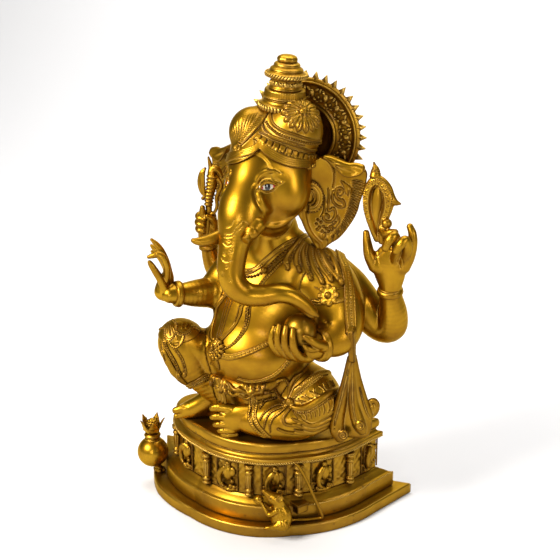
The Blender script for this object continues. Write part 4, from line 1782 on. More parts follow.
fan = Form(loft([(130, -22, 238, 5, 4.4), (129.6, -21, 214, 10, 5.5), (130, -20, 190, 17, 6.5),
                 (130, -19, 164, 24, 8), (129, -19, 146, 27, 8.5), (129, -19, 134, 24, 8)],
                up=(0, 1, 0)))
for pleat in ([(127.5, -25, 235.8, 4.2), (123.1, -26, 207.4, 5.4), (117.6, -26, 176.5, 7.4),
               (112.9, -26, 151.8, 9.3), (113.1, -27, 137.8, 9.9), (117, -27, 128, 7.4)],
              [(129.2, -24, 235.2, 3.8), (130.9, -25, 207.7, 4.8), (133, -25, 180, 6.4),
               (137.8, -25, 158.9, 8.3), (142.2, -25, 146.8, 8.0), (145, -25, 140, 5.4)],
              [(131.6, -19, 233.9, 3.2), (136.7, -19, 206.9, 4.4), (142.9, -19, 183.8, 5.4),
               (148.7, -18, 166.5, 5.9), (152.6, -18, 157, 4.4)]):
    fan.add(tube(pleat, 0, 5), 1.4)
    ridge_line = np.array(pleat) + np.array((-0.4, -1, 0, 0)) * np.array(pleat)[:, 3:4] * 0.94
    fan.cut(reed(spline(ridge_line[:5] + (3.0, 0.4, 0, 0), 5)[:, :3], 0.9), 1.0)
    fan.cut(reed(spline(ridge_line[:5] - (2.4, 0, 0, 0), 5)[:, :3], 0.7), 0.8)
for at, r in (((123.6, -36, 136), 6.6), ((144.4, -33.6, 150.6), 6.2)):
    at = np.array(at, float)
    fan.add(disc(at + (0, 1.2, 0), (0.2, -1, 0.1), r, 1.6), 0.6)
    s = spiral(1.8, 0.8, r - 1.0, start=0.6)
    fan.add(tube(at + np.column_stack([s[:, 0], -0.6 + 0 * s[:, 0], s[:, 1]]), 1.1, 1), 0.3)
curl = spline([(149.5, -14, 167), (151.4, -14, 176), (156.6, -13.6, 178.4), (160.4, -13, 173),
               (159, -13, 163.6), (153.6, -14, 157.6), (148, -15, 158)], 6)[:, :3]
fan.add(tube(curl, 3.4, 1), 1.0)
fan.add(ovoid((154.6, -14.6, 168), (4.4, 3.2, 6.4)), 1.2)
form_piece("sash_fan_pleats", fan, CLOTH, "sash_fan", step=0.85, slot="cloth_brass")

hip = Form(tube([(-46, -44, 192, 8), (-22, -52, 190, 9.5), (4, -54, 189, 9.5), (24, -50, 192, 8),
                 (36, -44, 198, 6)], 0))
hip.add(tube([(-22, -40, 178, 10), (6, -42, 176, 10), (24, -40, 180, 9)], 0), 5)
rumple = np.random.default_rng(11)
for k in range(24):
    x = -40 + 3.0 * k
    base = np.array((x, -55 - 6 * math.sin((x + 46) / 82 * math.pi), 188 + 0.04 * x))
    a = base + rumple.uniform((-5, 0, -7), (5, 5, 3))
    b = base + rumple.uniform((-5, -4, -5), (6, 0, 5))
    d = base + rumple.uniform((-5, -1, 1), (6, 4, 10))
    hip.add(tube([(*a, 1.4), (*b, 2.5), (*d, 1.5)], 0, 4), 0.8)
for points in ([(-26, -56, 197), (-19.2, -61, 195.3), (-10.8, -65, 189.9), (-1.7, -65, 190.9),
                (6.7, -63, 187), (17.3, -61, 192.4), (25, -57, 188.8)],
               [(-24, -58, 186), (-14, -63, 181), (-6, -64, 184), (4.3, -63, 179), (13, -61, 184)]):
    hip.add(reed(spline(points, 5)[:, :3], 2.4), 0.8)
for x, y in ((-43, -53), (-38.5, -55), (-34, -56)):
    hip.add(tube([(x, y, 197, 3.2), (x + 4, y - 2, 187, 2.8), (x + 7, y - 2, 176, 2.4),
                  (x + 8, y - 2, 167, 2.2)], 0), 0.4)
form_piece("hip_cloth_folds", hip, CLOTH, "hip_cloth", step=0.9, slot="cloth_brass")

# Beaded, scalloped cloth over the raised knee and its ruffles
KNEE = RAISED_LEG.copy().add(TORSO, 14)
knee = Form(grown(RAISED_LEG, 1.3))
knee.keep(ovoid((-93, -50, 258), (30, 31, 20)), 1.2)


def rim_line(points):
    """A beaded edge of the knee cloth with a cord above it."""
    pearls(knee, points, 2.7, 1.3, 1.9, KNEE)
    cord(knee, np.array(points, float) + (0, 0, 1.9), 0.9, 1.5, 0.5, KNEE)


rim_line([(-112, -52, 250), (-107.5, -58, 257), (-103, -62, 255), (-100.8, -68.1, 250.7),
          (-95, -71, 247), (-90, -70, 251), (-88.1, -63, 259.1), (-92, -56, 264.5), (-100, -48, 264)])
rim_line([(-88, -64, 258), (-84, -64.5, 254.5), (-79, -62, 253.4), (-74.6, -56, 255.5),
          (-73, -48, 260), (-68.2, -42, 256), (-62.3, -38.5, 251)])
rim_line([(-95, -72.4, 246), (-90, -74, 241), (-84.5, -73, 240), (-79.6, -69.6, 244.4),
          (-78, -65, 251)])
for k in range(4):
    cord(knee, [(-106 + 4 * k, -50 - 3 * k, 262 - k), (-101 + 4 * k, -58 - 2 * k, 258 - k),
                (-98 + 4.4 * k, -64 - 1.6 * k, 252 - k)], 0.7, 1.4, 0.4, KNEE)
for k in range(5):
    cord(knee, [(-84 + 4 * k, -54 + 3.4 * k, 265 - k), (-83 + 4 * k, -59 + 3 * k, 260 - k)], 0.7, 1.4,
         0.4, KNEE)
LINE_1 = [(-103, -70, 246), (-97, -74, 236), (-91.4, -73.8, 226), (-87.4, -70.6, 214),
          (-85.6, -65, 201.3)]
LINE_2 = [(-95, -72.4, 246), (-86.4, -73.2, 236.4), (-80.4, -70.4, 225.3), (-78, -67.3, 212.9),
          (-77.6, -65.1, 204)]
for line in (LINE_1, LINE_2):
    pearls(knee, line, 2.8, 1.35, 1.6, KNEE)
    cord(knee, np.array(line) + (2.2, -0.2, 0.6), 0.9, 0.8, 0.5, KNEE)
for k, line in enumerate(([(-106, -66, 243, 4.4), (-103, -70, 232, 4.8), (-98, -71, 222, 4.2)],
                          [(-101, -71, 230, 4.6), (-98, -70, 219, 5.4), (-94, -67, 208, 4.4)],
                          [(-96, -69, 216, 4.8), (-93, -65, 204, 5.6), (-88, -59, 193, 4.4)],
                          [(-90, -63, 200, 4.2), (-87, -58, 191, 4.6), (-83, -53, 184, 3.6)])):
    knee.add(tube(line, 0, 4), 1.4)
    edge = np.array(line)[:, :3] + (-3.6, -2.2, 0)
    knee.add(reed(spline(edge, 5)[:, :3], 1.3, 0.6), 0.6)
    knee.cut(reed(spline(edge + (2.6, -1.6, 0), 5)[:, :3], 1.0), 0.8)
knee.add(ovoid((-77.6, -66.6, 201.4), (3.0, 3.0, 4.0)), 0.5)
knee.add(ovoid((-85.4, -66.6, 198.6), (2.8, 2.8, 3.6)), 0.5)
form_piece("knee_cloth_scallops", knee, CLOTH, "knee_cloth", step=0.7, slot="cloth_brass")

hem = Form()
HEM = np.array([(-86, -40, 176), (-81, -48, 180.4), (-75.5, -53, 185.4), (-63.8, -54, 191),
                (-52.6, -52.4, 194.6), (-44, -45, 196), (-36, -34, 197), (-33, -20, 196)])
strap(hem, HEM + (0, 0, -2.6), 4.2, 1.5, RAISED_LEG, 1.5)
for dz in (2.2, -7.4):
    cord(hem, HEM + (dz * -0.2, 0, dz), 1.4, 1.1, 0.6, RAISED_LEG)
pearls(hem, HEM + (0, 0, -0.6), 2.7, 1.25, 2.0, RAISED_LEG)
pearls(hem, HEM + (1, 0, -4.6), 2.7, 1.25, 2.0, RAISED_LEG)
form_piece("shin_hem_rows", hem, CLOTH, "shin_hem", step=0.65, slot="cloth_brass")

# Patterned cloth over the folded knee
LAP = FOLDED_LEG.copy().add(TORSO, 14)
fold = Form(grown(FOLDED_LEG, 1.2))
fold.keep(ovoid((92, -22, 172), (46, 40, 50)), 1.5)


def fat_fold(points, r, lift=1.2, blend=2.2):
    """A thick fold of the cloth over the folded knee."""
    fold.add(reed(laid_path(LAP, points, 6, lift), r, 0.45), blend)


TOP_RIDGE = [(57, -45, 181), (62, -41, 189), (68.9, -36.4, 194), (80.1, -23, 203), (89, -6, 204),
             (95, 8, 202)]
TOP_EDGE = [(52, -46.6, 182), (53.6, -43, 190), (55.7, -40, 196.4), (60.7, -32.4, 205), (66, -24, 208)]
LOW_RIDGE = [(60, -51, 171), (69, -50.6, 170), (78.5, -46.6, 171.4), (91.2, -38.2, 179),
             (102.3, -25, 186), (108, -8, 185)]
fat_fold(TOP_RIDGE, 4.2)
fat_fold(TOP_EDGE, 2.6)
fat_fold(LOW_RIDGE, 4.4)
for k in range(34):
    s = laid_path(LAP, TOP_RIDGE, 8, 4.6)
    p = s[int((0.08 + 0.84 * k / 33) * (len(s) - 1))]
    _, n, right, up = frame_at(LAP, p)
    fold.cut(tube([p + up * 2.6 - n * 0.6, p + n * 0.9, p - up * 2.6 - n * 0.6], 0.45, 1), 0.3)
pearls(fold, np.array(LOW_RIDGE) + (2.6, -1.6, -5.4), 2.9, 1.3, 1.8, LAP)
pearls(fold, np.array(TOP_RIDGE[:5]) + (2.2, -2, -5.0), 2.9, 1.2, 1.6, LAP)
# Woven panel between the two ridges: chevrons and bars
for k in range(11):
    t = k / 10
    a = np.array((63, -46, 178)) * (1 - t) + np.array((101, -10, 197)) * t
    b = np.array((72, -46, 175.6)) * (1 - t) + np.array((107, -14, 189)) * t
    m = (a + b) / 2 + np.array((3.6, -1.5, 2.4)) * (-1) ** k
    cord(fold, [a, m, b], 0.75, 1.5, 0.3, LAP, 3)
for k in range(9):
    t = k / 8
    a = np.array((70, -55.6, 165)) * (1 - t) + np.array((108, -20, 180)) * t
    b = np.array((76, -56, 156.4)) * (1 - t) + np.array((110, -27, 166)) * t
    cord(fold, [a, (a + b) / 2 + (1.6, 0, 0), b], 0.8, 1.5, 0.3, LAP, 3)
cord(fold, [(66, -55.6, 165), (74.4, -56, 158.5), (84, -51.8, 151.6), (93, -44.4, 152.6),
            (103.7, -35, 158.8), (109.2, -27.6, 165), (112, -16, 168)], 1.5, 1.0, 0.8, LAP)
for dz, x in ((0, 0), (-7, 2), (-14, 3)):
    fat_fold([(64 + x, -60, 160 + dz), (76 + x, -58.4, 155.4 + dz), (88 + x, -50.6, 149 + dz),
              (98 + x, -40, 150 + dz), (106 + x, -30, 155 + dz)], 2.6, 0.8, 1.8)
# Knot with a curled loop and beaded lines that fan out from it
c, n, right, up = frame_at(LAP, (56.4, -47.7, 175.3))
fold.add(ovoid(c + n * 1.5, (6.2, 5.0, 6.6)), 1.2)
for k in range(5):
    a = 0.5 + k * 0.62
    d = math.cos(a) * right + math.sin(a) * up
    fold.cut(tube([c + n * 6.0, c + n * 4.6 + d * 6], 0.7, 1), 0.5)
LOOP = [(52, -48, 178), (44, -52, 182.4), (39.6, -53.6, 189), (41, -52, 197), (46, -48.4, 201.6),
        (52, -43, 200.4), (53, -43, 196)]
cord(fold, LOOP, 2.2, 1.2, 0.8, LAP)
pearls(fold, np.array(LOOP) + (0.6, -0.6, -0.4), 2.9, 1.3, 3.2, LAP)
for line in ([(50, -49, 177.6), (41.3, -52.4, 181.4), (33, -56.7, 181), (24.4, -60, 177), (19, -62, 170)],
             [(50.3, -50.3, 174.6), (41.9, -54.1, 174.6), (33.7, -58.8, 170.6), (28, -62.4, 163),
              (24, -65, 154)],
             [(51.8, -51.7, 172.4), (44.7, -56.6, 169.4), (36.6, -61.3, 164.1), (31.6, -65.7, 154.6),
              (30, -67.6, 145)],
             [(54, -52.9, 170.4), (48.5, -59.1, 164.4), (41.3, -63.6, 158), (37.6, -67, 148.8),
              (38, -68.6, 140)]):
    pearls(fold, line, 2.8, 1.3, 0.9, LAP)
    cord(fold, np.array(line) + (-0.4, -0.4, 3.0), 1.4, 0.3, 0.8, LAP)
cord(fold, [(58, -54.2, 168.6), (53.6, -61.6, 160.9), (56, -64, 153.6), (64, -62, 151.6),
            (72, -59, 152.4)], 2.2, 0.6, 1.2, LAP)
fold.add(tube(laid_path(LAP, [(48, -66, 146), (58, -66, 142), (70, -62, 140), (82, -54, 138)], 6, 0.5),
              2.2, 1), 2)
form_piece("folded_knee_drape", fold, CLOTH, "folded_knee_cloth", step=0.75, slot="cloth_brass")

cuff = Form()
for line in ([(6, -62, 181), (5.4, -64, 174.7), (6, -66.4, 162), (12.6, -67.6, 146.7),
              (22.8, -67.4, 136), (28, -64, 129)],
             [(13.4, -60, 186), (12.6, -63.6, 178), (12.2, -65.6, 165.8), (18.6, -67.4, 151),
              (28.4, -67.6, 140), (35, -65, 131)]):
    pearls(cuff, line, 3.0, 1.45, 0.8, LAP)
    cord(cuff, np.array(line) + (-2.6, 0, 0.6), 1.5, 0.5, 0.8, LAP)
    cord(cuff, np.array(line) + (2.6, 0, -0.4), 1.1, 0.4, 0.8, LAP)
form_piece("ankle_cuff_rows", cuff, CLOTH, "ankle_cuff", step=0.65, slot="cloth_brass")


# ---------------------------------------------------------------- feet
foot = Form(tube([(-60, -12, 158, 15), (-66, -15, 149, 14.5), (-76, -18, 141, 13),
                  (-88, -21, 134, 12), (-98, -24, 130, 10)], 0))
foot.add(tube([(-56, 0, 136, 13), (-70, -8, 131, 12), (-88, -14, 127, 9)], 0), 8)
foot.add(ovoid((-58, -4, 130), (15, 14, 12)), 6)
for points in ([(-94, -27, 135.5, 6.2), (-101, -30.4, 134.2, 5.8), (-107.4, -33, 132.4, 4.6)],
               [(-95, -25, 127, 5.4), (-102, -28.4, 125, 5.0), (-107.6, -30.6, 123.4, 4.0)],
               [(-93, -19, 124, 5.0), (-99.6, -21, 122.6, 4.6), (-104.6, -22.6, 121.8, 3.6)],
               [(-92, -13, 123.4, 4.6), (-98, -14.4, 122, 4.2), (-102.4, -15.4, 121.2, 3.4)],
               [(-90, -7.4, 123, 4.2), (-95, -8, 121.6, 3.9), (-99, -8.6, 120.8, 3.2)]):
    foot.add(tube(points, 0, 4), 1.8)
    nail = np.array(points[-1][:3]) + (0.6, -0.4, 2.4)
    foot.add(ovoid(nail, (2.4, 2.2, 1.2)), 0.3)
foot.keep(block((-70, -20, 150), (60, 60, 31.2), edge=0.6), 0.6)
form_piece("foot_raised", foot, GOLD, "raised_foot", step=0.85, slot="figure_brass")

foot = Form(loft([(16, -46, 148, 11, 19), (3, -49, 147.4, 11, 18.5), (-9, -52, 146, 10.5, 18),
                  (-19, -53.5, 143, 10, 18.5), (-25, -54, 140, 8.5, 19)]))
TOES = [
    [(-20, -54, 158, 6.4), (-29, -57, 159.4, 6.4), (-37, -59.4, 159.4, 6.0), (-42.6, -60, 157.6, 4.6)],
    [(-20, -55, 146.6, 5.6), (-29, -59, 147.6, 5.4), (-36.4, -61.4, 147.7, 5.1), (-42, -62, 146.2, 4.0)],
    [(-18, -55, 136, 5.0), (-26, -59, 137, 4.9), (-33, -61.4, 137, 4.8), (-38.6, -62, 136.4, 3.8)],
    [(-16, -54, 127.6, 4.6), (-22, -58, 128.6, 4.4), (-28.4, -60.6, 128.6, 4.3), (-33.6, -61, 128, 3.4)],
    [(-14, -53, 121.6, 4.0), (-19, -56, 121.8, 3.9), (-25, -58.6, 121.8, 3.8), (-29.8, -59, 122, 3.2)]]
digits(foot, *TOES, blend=0.2, root=2.2)
for toe in TOES:
    a, b = np.array(toe[-2]), np.array(toe[-1])
    nail = (a[:3] * 0.35 + b[:3] * 0.65) + np.array((-0.2, -1, 0.3)) * b[3] * 0.86
    foot.add(ovoid(nail, (3.0, 0.9, b[3] * 0.62), (0, 0, 20)), 0.2)
    creases(foot, toe, (0.6,), 1.0, 0.4)
form_piece("foot_folded", foot, GOLD, "folded_foot", step=0.7, slot="figure_brass")


# ---------------------------------------------------------------- plinth
# The plan in mm. The front bay and the left side are arcs that meet at CORNER_X, the side ends at
# the angle SIDE_TO and runs on straight to the back, and the right side is SKEW fuller.
BAY_Y, BAY_RADIUS = 30.2, 122.2
SIDE_MIDDLE, SIDE_RADIUS, SIDE_TO = np.array((3.4, 73.6)), 158.9, -19.7
BACK_Y, CORNER_X, SKEW = 90.0, 66.9, 15.0


def skewed(x, inset):
    """How much fuller the right side is at the distance x from the middle."""
    return SKEW * (1 - inset / 45) * np.minimum(1, x / 125) ** 1.5


def half_plan(inset, fine=1.0):
    """From the middle of the front to the back corner, moved in by inset."""
    r = SIDE_RADIUS - inset
    front = BAY_Y + inset - BAY_RADIUS
    rise = SIDE_MIDDLE[1] - math.sqrt(r**2 - (CORNER_X - SIDE_MIDDLE[0]) ** 2) - front
    bend = (CORNER_X**2 + rise**2) / (2 * rise)
    q = np.linspace(0, math.asin(CORNER_X / bend), int(40 * fine))
    bay = np.stack([bend * np.sin(q), front + bend * (1 - np.cos(q))], 1)
    q = np.radians(np.linspace(-math.degrees(math.acos((CORNER_X - SIDE_MIDDLE[0]) / r)), SIDE_TO,
                               int(60 * fine)))
    side = SIDE_MIDDLE + r * np.stack([np.cos(q), np.sin(q)], 1)
    turn = math.radians(SIDE_TO)
    end = SIDE_MIDDLE + SIDE_RADIUS * np.array((math.cos(turn), math.sin(turn)))
    way = unit(np.array((185, BACK_Y)) - end)
    start = end - np.array((way[1], -way[0])) * inset
    corner = start + way * (BACK_Y - inset - start[1]) / way[1]
    run = side[-1] + (corner - side[-1]) * np.linspace(0, 1, int(30 * fine))[1:, None]
    return np.vstack([bay, side[1:], run])


def plan(inset, fine=1.0):
    """The whole outline; the casting is fuller on its right side, most of all low down."""
    half = half_plan(inset, fine)
    other = np.stack([-half[:, 0] - skewed(half[:, 0], inset), half[:, 1]], 1)[::-1][:-1]
    turn = 52.0 * np.clip((inset - 15) / 8, 0, 1)
    late = np.clip((other[:, 1] - (BACK_Y - inset - turn)) / (turn + 1e-6), 0, 1)
    other[:, 0] += turn * (1 - np.sqrt(1 - late**2))
    a, b = half[-1], other[0]
    back = a + (b - a) * np.linspace(0, 1, int(60 * fine))[1:-1, None]
    return np.vstack([half, back, other])


def rounded_profile(profile, radius):
    """A closed profile of inset and height with its corners rounded."""
    p = np.asarray(profile, float)
    out = []
    for i in range(len(p)):
        out += round_corner(p[i - 1], p[i], p[(i + 1) % len(p)], radius, 0.4)
    return np.array(out)


def swept(profile, fine=1.0, bump=None):
    """A closed ring that follows the plan with the given section."""
    rings = [np.column_stack([plan(i, fine), np.full(len(plan(i, fine)), z)]) for i, z in profile]
    n, m = len(rings[0]), len(rings)
    points = np.vstack(rings)
    if bump is not None:
        points = bump(points, n, m)
    i, j = np.arange(m)[:, None], np.arange(n)[None]
    k, l = (i + 1) % m, (j + 1) % n
    quads = np.stack([i * n + j, i * n + l, k * n + l, k * n + j], -1).reshape(-1, 4)
    return points, [quads]


def capped(profile):
    """A solid tier: the section runs from the middle of its underside to the middle of its top."""
    points, faces = swept(profile)
    n, m = len(plan(0)), len(profile)
    quads = faces[0][:n * (m - 1)]
    tris = []
    for ring, flip in ((0, True), (m - 1, False)):
        at = len(points)
        points = np.vstack([points, [[0, 30, profile[ring][1]]]])
        j = np.arange(n)
        fan = np.stack([ring * n + j, ring * n + (j + 1) % n, np.full(n, at)], 1)
        tris.append(fan[:, ::-1] if flip else fan)
    return points, [quads, np.vstack(tris)]


def rough_face(low, high, depth, seed):
    """Hammer marks on the outer face of a ring between two heights."""
    rng = np.random.default_rng(seed)
    ranges = ((0.15, 0.75), (0, 6.3), (0.2, 0.8), (0, 6.3))
    waves = [[rng.uniform(low, high) for low, high in ranges] for _ in range(14)]

    def bump(points, n, m):
        x, y, z = points.T
        s = np.arctan2(x, -(y - 60)) * 130
        d = sum(np.sin(a * s + b) * np.sin(c * z + e) for a, b, c, e in waves) / 4
        d *= depth * ((z > low) & (z < high))
        face = (np.arange(len(points)) // n) < m - 8
        out = np.stack([x, y - 60, 0 * z], 1)
        out /= np.linalg.norm(out, axis=1)[:, None]
        return points + out * (d * face)[:, None]

    return bump


def along_plan(inset, gap):
    """Places an even gap apart, from one back corner round the front to the other."""
    p = plan(inset, 2)
    half = len(half_plan(inset, 2))
    path = np.vstack([p[:half][::-1], p[half:][::-1][:half - 1]])
    keep = [path[0]]
    for q in path[1:]:
        if np.linalg.norm(q - keep[-1]) >= gap * 0.2:
            keep.append(q)
    return along(np.column_stack([keep, np.zeros(len(keep))]), gap)[:, :2]


slab = swept(rounded_profile([(0.9, 0), (0, 1.2), (0, 13.2), (1.4, 15), (9, 14.7), (12.6, 15), (40, 15),
                              (40, 3.6), (37, 3.4), (35.8, 3.2), (35.8, 0)], 1.3))
solid_piece("slab_casting", [slab], PLINTH, "base_slab", slot="plinth_brass")
step_section = [(14.6, 15.2), (14, 17), (14, 33.6), (14.6, 35.6), (16.4, 36.6), (18, 37.4), (19.8, 39.2),
                (22, 41.2), (24.6, 43.2), (26.6, 45.6), (27.4, 46), (33.6, 46), (33.6, 15.2)]
step_parts = [swept(rounded_profile(step_section, 1.1))]
for x, y in along_plan(14.6, 2.6):
    if x > CORNER_X - 0.9:
        step_parts.append(ball_part((x, y, 35.2), 1.05, u=8, v=6))
solid_piece("step_casting", step_parts, PLINTH, "step_tier", slot="plinth_brass")
rows = [(28, z) for z in np.linspace(46.4, 89.8, 46)]
wall = swept([(29, 46.2)] + rows + [(29, 90), (33.6, 90), (34, 89.6), (34, 68), (34, 46.6), (33.6, 46.2)]
             + [(31, 46.2), (30, 46.2)], 1.6, bump=rough_face(50, 86, 0.55, 5))
solid_piece("frieze_wall_casting", [wall], RELIEF, "frieze_wall", slot="plinth_brass")
rim = swept(rounded_profile([(26.4, 90.2), (24, 91.6), (23, 93.4), (22.8, 96.6), (23.6, 98.4),
                             (25.4, 99.2), (27.2, 100.4), (28.4, 102.4), (28.2, 104), (27, 105),
                             (33.6, 105), (33.6, 90.2)], 1.0))
solid_piece("rim_casting", [rim], PLINTH, "seat_rim", slot="plinth_brass")
rope = []
path = along_plan(23.2, 3.1)
for a, b in zip(path[:-1], path[1:]):
    t = unit(np.append(b - a, 0))
    out = np.array((t[1], -t[0], 0))
    out = out if out @ np.append(a - (0, 60), 0) > 0 else -out
    lean = unit(t + 0.75 * np.array((0, 0, 1)))
    side = unit(np.cross(out, lean))
    rope.append(ball_part(np.append((a + b) / 2, 92.6), (2.5, 1.35, 1.5), np.stack([lean, side, out]),
                          u=10, v=8))
solid_piece("rim_rope", rope, PLINTH, "rim_beads", slot="plinth_brass")
plate = capped([(45, 105.2)] + [tuple(p) for p in rounded_profile(
    [(40, 105.2), (27.6, 105.2), (26.2, 107), (25.8, 110.5), (26, 114), (27, 117.4), (29.4, 119),
     (45, 119)], 1.2)[4:-4]] + [(45, 119)])
solid_piece("seat_plate_casting", [plate], PLINTH, "seat_plate", slot="plinth_brass")


# ---------------------------------------------------------------- frieze
WALL_IN = 28


def wall_frame(side, q):
    """Foot of the wall, and its rightward and outward directions, at an angle of a round part."""
    a = math.radians(q)
    if side == 0:
        p = np.array((0, BAY_Y + WALL_IN)) + BAY_RADIUS * np.array((math.sin(a), -math.cos(a)))
        out = np.array((math.sin(a), -math.cos(a)))
    else:
        r = SIDE_RADIUS - WALL_IN
        p = SIDE_MIDDLE + r * np.array((math.cos(a), math.sin(a)))
        out = np.array((math.cos(a), math.sin(a)))
        if side < 0:
            p[0] = -p[0] - skewed(p[0], WALL_IN)
            out[0] = -out[0]
    out = np.append(out, 0)
    return np.append(p, 47.0), np.cross((0, 0, 1), out) * -1, out


def on_wall(foot):
    """Places on the wall: to the right, outwards and up from the foot of a panel."""
    p, right, out = foot
    return lambda x, o, z: p + x * right + o * out + np.array((0, 0, z))


PILLAR = [(2, -0.4), (5.8, 0), (6.2, 1.4), (5.8, 3), (4.4, 3.8), (4.4, 4.8), (5.4, 5.6), (5.6, 7),
          (5.2, 8.4), (4.2, 9.2), (3.5, 10.2), (3.9, 15), (4.6, 22), (4.7, 27), (4.0, 29), (4.0, 30),
          (5.2, 30.8), (5.4, 32.2), (5.0, 33.6), (4.0, 34.4), (4.2, 36), (5.4, 37.2), (6.2, 38.8),
          (6.2, 40.4), (5.6, 41.2), (6.4, 42), (6.4, 42.8), (2, 43)]
flutes = lambda a, i: 1 + (0.07 * np.cos(8 * a) if 38 < i < 58 else 0)
pillars = []
for side, angles in ((0, (-26, 4, 33)), (1, (-29,)), (-1, (-29,))):
    for q in angles:
        at = on_wall(wall_frame(side, q))(0, 3.4, 0)
        pillars.append(lathe(softened(PILLAR), 40, at, (0, 0, 1), flutes))
corner = on_wall(wall_frame(0, 33))(1.5, 6, -15.6)
solid_piece("frieze_pillars_turned", pillars, PLINTH, "frieze_pillars", slot="relief_brass")
ASKEW = ((0.84, -0.54, 0), (0.54, 0.84, 0), (0, 0, 1))
corner_block = Form(block(corner + (0, 0, 2.6), (11.5, 8.5, 6.4), ASKEW, 1.2))
corner_block.add(block(corner + (0, 0, 7.6), (12.3, 9.3, 1.3), ASKEW, 0.8), 0.4)
form_piece("corner_block", corner_block, PLINTH, step=0.8)

reliefs = Form()
PANELS = ((0, -11), (0, 18.5), (1, -47), (1, -11), (-1, -47), (-1, -11))


def rod_between(place, stations, steps=4):
    """A rod through stations of x, outward, z and radius on a wall or an animal."""
    return tube([(*place(*s[:3]), s[3]) for s in stations], 0, steps)


for side, q in PANELS:
    f = wall_frame(side, q)
    w = on_wall(f)
    yaw = math.degrees(math.atan2(f[1][1], f[1][0]))
    g = Form(ovoid(w(-2, 1.0, 25), (7.2, 6.4, 11.5), (0, 0, yaw)))
    g.add(rod_between(w, [(1, 5.0, 33, 3.4), (6, 6.2, 27, 3.8), (8.6, 6.0, 18, 3.4), (7, 6, 10, 2.8),
                          (2.6, 6, 6.4, 2.2)]), 2)
    g.add(ovoid(w(-9, 1.2, 27), (4.2, 2.6, 6.4), (0, 0, yaw)), 1.2)
    g.add(ovoid(w(-2, 1.6, 38), (4.0, 3.6, 3.4), (0, 0, yaw)), 1.0)
    for x, o, z, r in ((-9, 2.4, 14, 3.0), (-7, 3.0, 7, 3.6), (0.4, 3.4, 3.4, 3.2), (8, 2.2, 4, 3.0),
                       (-12, 1.4, 6, 2.6), (12, 1.4, 12, 2.4)):
        g.add(ovoid(w(x, o, z), r), 1.0)
    g.add(rod_between(w, [(-12, 1, 3, 2.0), (-3, 3.6, 1.6, 2.4), (8, 2.4, 2, 2.0)]), 1.4)
    for x in (-15.5, 15.5):
        g.add(tube([w(x, 0.2, 1.5), w(x, 0.2, 41)], 1.1, 1), 0.6)
    for z in (1.2, 41.2):
        g.add(tube([w(-15.5, 0.2, z), w(0, 0.6, z), w(15.5, 0.2, z)], 1.1, 3), 0.6)
    reliefs.add(g)
for side in (1, -1):
    half = half_plan(WALL_IN, 2)
    end, way = half[-18], unit(half[-1] - half[-18])
    out = np.array((way[1], -way[0]))
    if side < 0:
        end = np.array((-end[0] - skewed(end[0], WALL_IN), end[1]))
        way, out = way * (-1, 1), out * (-1, 1)
    w = on_wall((np.append(end, 47.0), np.append(way, 0), np.append(out, 0)))
    g = Form(rod_between(w, [(-8, 0.4, 3, 1.4), (-4, 1.6, 14, 2.8), (2, 2.0, 24, 3.2), (1, 1.8, 34, 2.4),
                             (-5, 1.2, 39, 1.6)]))
    for x, z, r in ((-9, 30, 3.2), (-8, 20, 2.8), (5, 14, 3.0), (7, 31, 2.6), (-2, 8, 2.4), (6, 22, 2.2)):
        g.add(ovoid(w(x, 0.8, z), (r, r, r * 1.3)), 1.2)
    for x in (-14, 12):
        g.add(tube([w(x, 0.2, 1.5), w(x, 0.2, 41)], 1.2, 1), 0.6)
    reliefs.add(g)
form_piece("frieze_relief_figures", reliefs, RELIEF, "frieze_reliefs", step=0.75, slot="relief_brass")


# ---------------------------------------------------------------- water pot
POT = np.array((-161.0, 4, 46))
pot = [lathe(softened([(3, -21)] + [(21.4 * math.cos(q), 21.4 * math.sin(q))
                                    for q in np.linspace(-1.35, 1.06, 30)]
                      + [(10.6, 18.9), (11.2, 19.4), (10.8, 20.6), (9.2, 21.6), (9.2, 22.8), (11.2, 24),
                         (11.6, 26), (10.2, 27.4), (9.6, 28), (3, 28.4)]), 96, POT, (0, 0, 1))]
solid_piece("pot_turned", pot, GOLD, slot="ornament_brass")
pot_foot = Form(tube([(-154, 8, 15.6, 7.5), (-155.6, 7, 22, 4.4), (-158, 5.4, 29.6, 6)], 0, 3))
for i in range(6):
    a = around(i, 6)
    toe = (-154 + 7 * math.cos(a), 8 + 6 * math.sin(a), 17.4, 2.4)
    pot_foot.add(tube([(-154, 8, 17, 3), toe], 0, 1), 1)
pot_foot.keep(block((-156, 6, 30), (20, 20, 14.9), edge=0.4), 0.3)
form_piece("pot_foot_leaf", pot_foot, PLINTH, "water_pot", step=0.7)

spray = Form()
top = POT + (0, 0, 27.6)
for i in range(5):
    a = math.radians(72 * i + 18)
    d, s = np.array((math.cos(a), math.sin(a), 0)), np.array((-math.sin(a), math.cos(a), 0))
    path = [(5.4, -1.0), (9.0, 5), (11.4, 11), (14.0, 17.5), (17.2, 23)]
    wide = (4.8, 7.8, 7.0, 4.4, 1.2)
    for j in range(4):
        p0, p1 = (top + d * path[j + k][0] + (0, 0, path[j + k][1]) for k in (0, 1))
        n = unit(np.cross(s, p1 - p0))
        spray.add(loft([(*p0, 1.1, wide[j]), (*p1, 0.9, wide[j + 1])], up=s, steps=2), 1.2)
    mid = spline([top + d * (r - 0.6) + (0, 0, h) for r, h in path], 5)[:, :3]
    spray.add(reed(mid, 1.3), 0.8)
coconut = Form(ovoid(top + (0, 0, 8), (7.8, 7.8, 15)))
for k in range(7):
    for i in range(11):
        a = around(i + 0.5 * (k % 2), 11)
        z = 1 + 3.0 * k
        r = 7.6 * math.sqrt(max(0.05, 1 - ((z - 8) / 15) ** 2))
        coconut.add(ovoid(top + (r * math.cos(a), r * math.sin(a), z), 1.45), 0.4)
spray.add(coconut, 0.6)
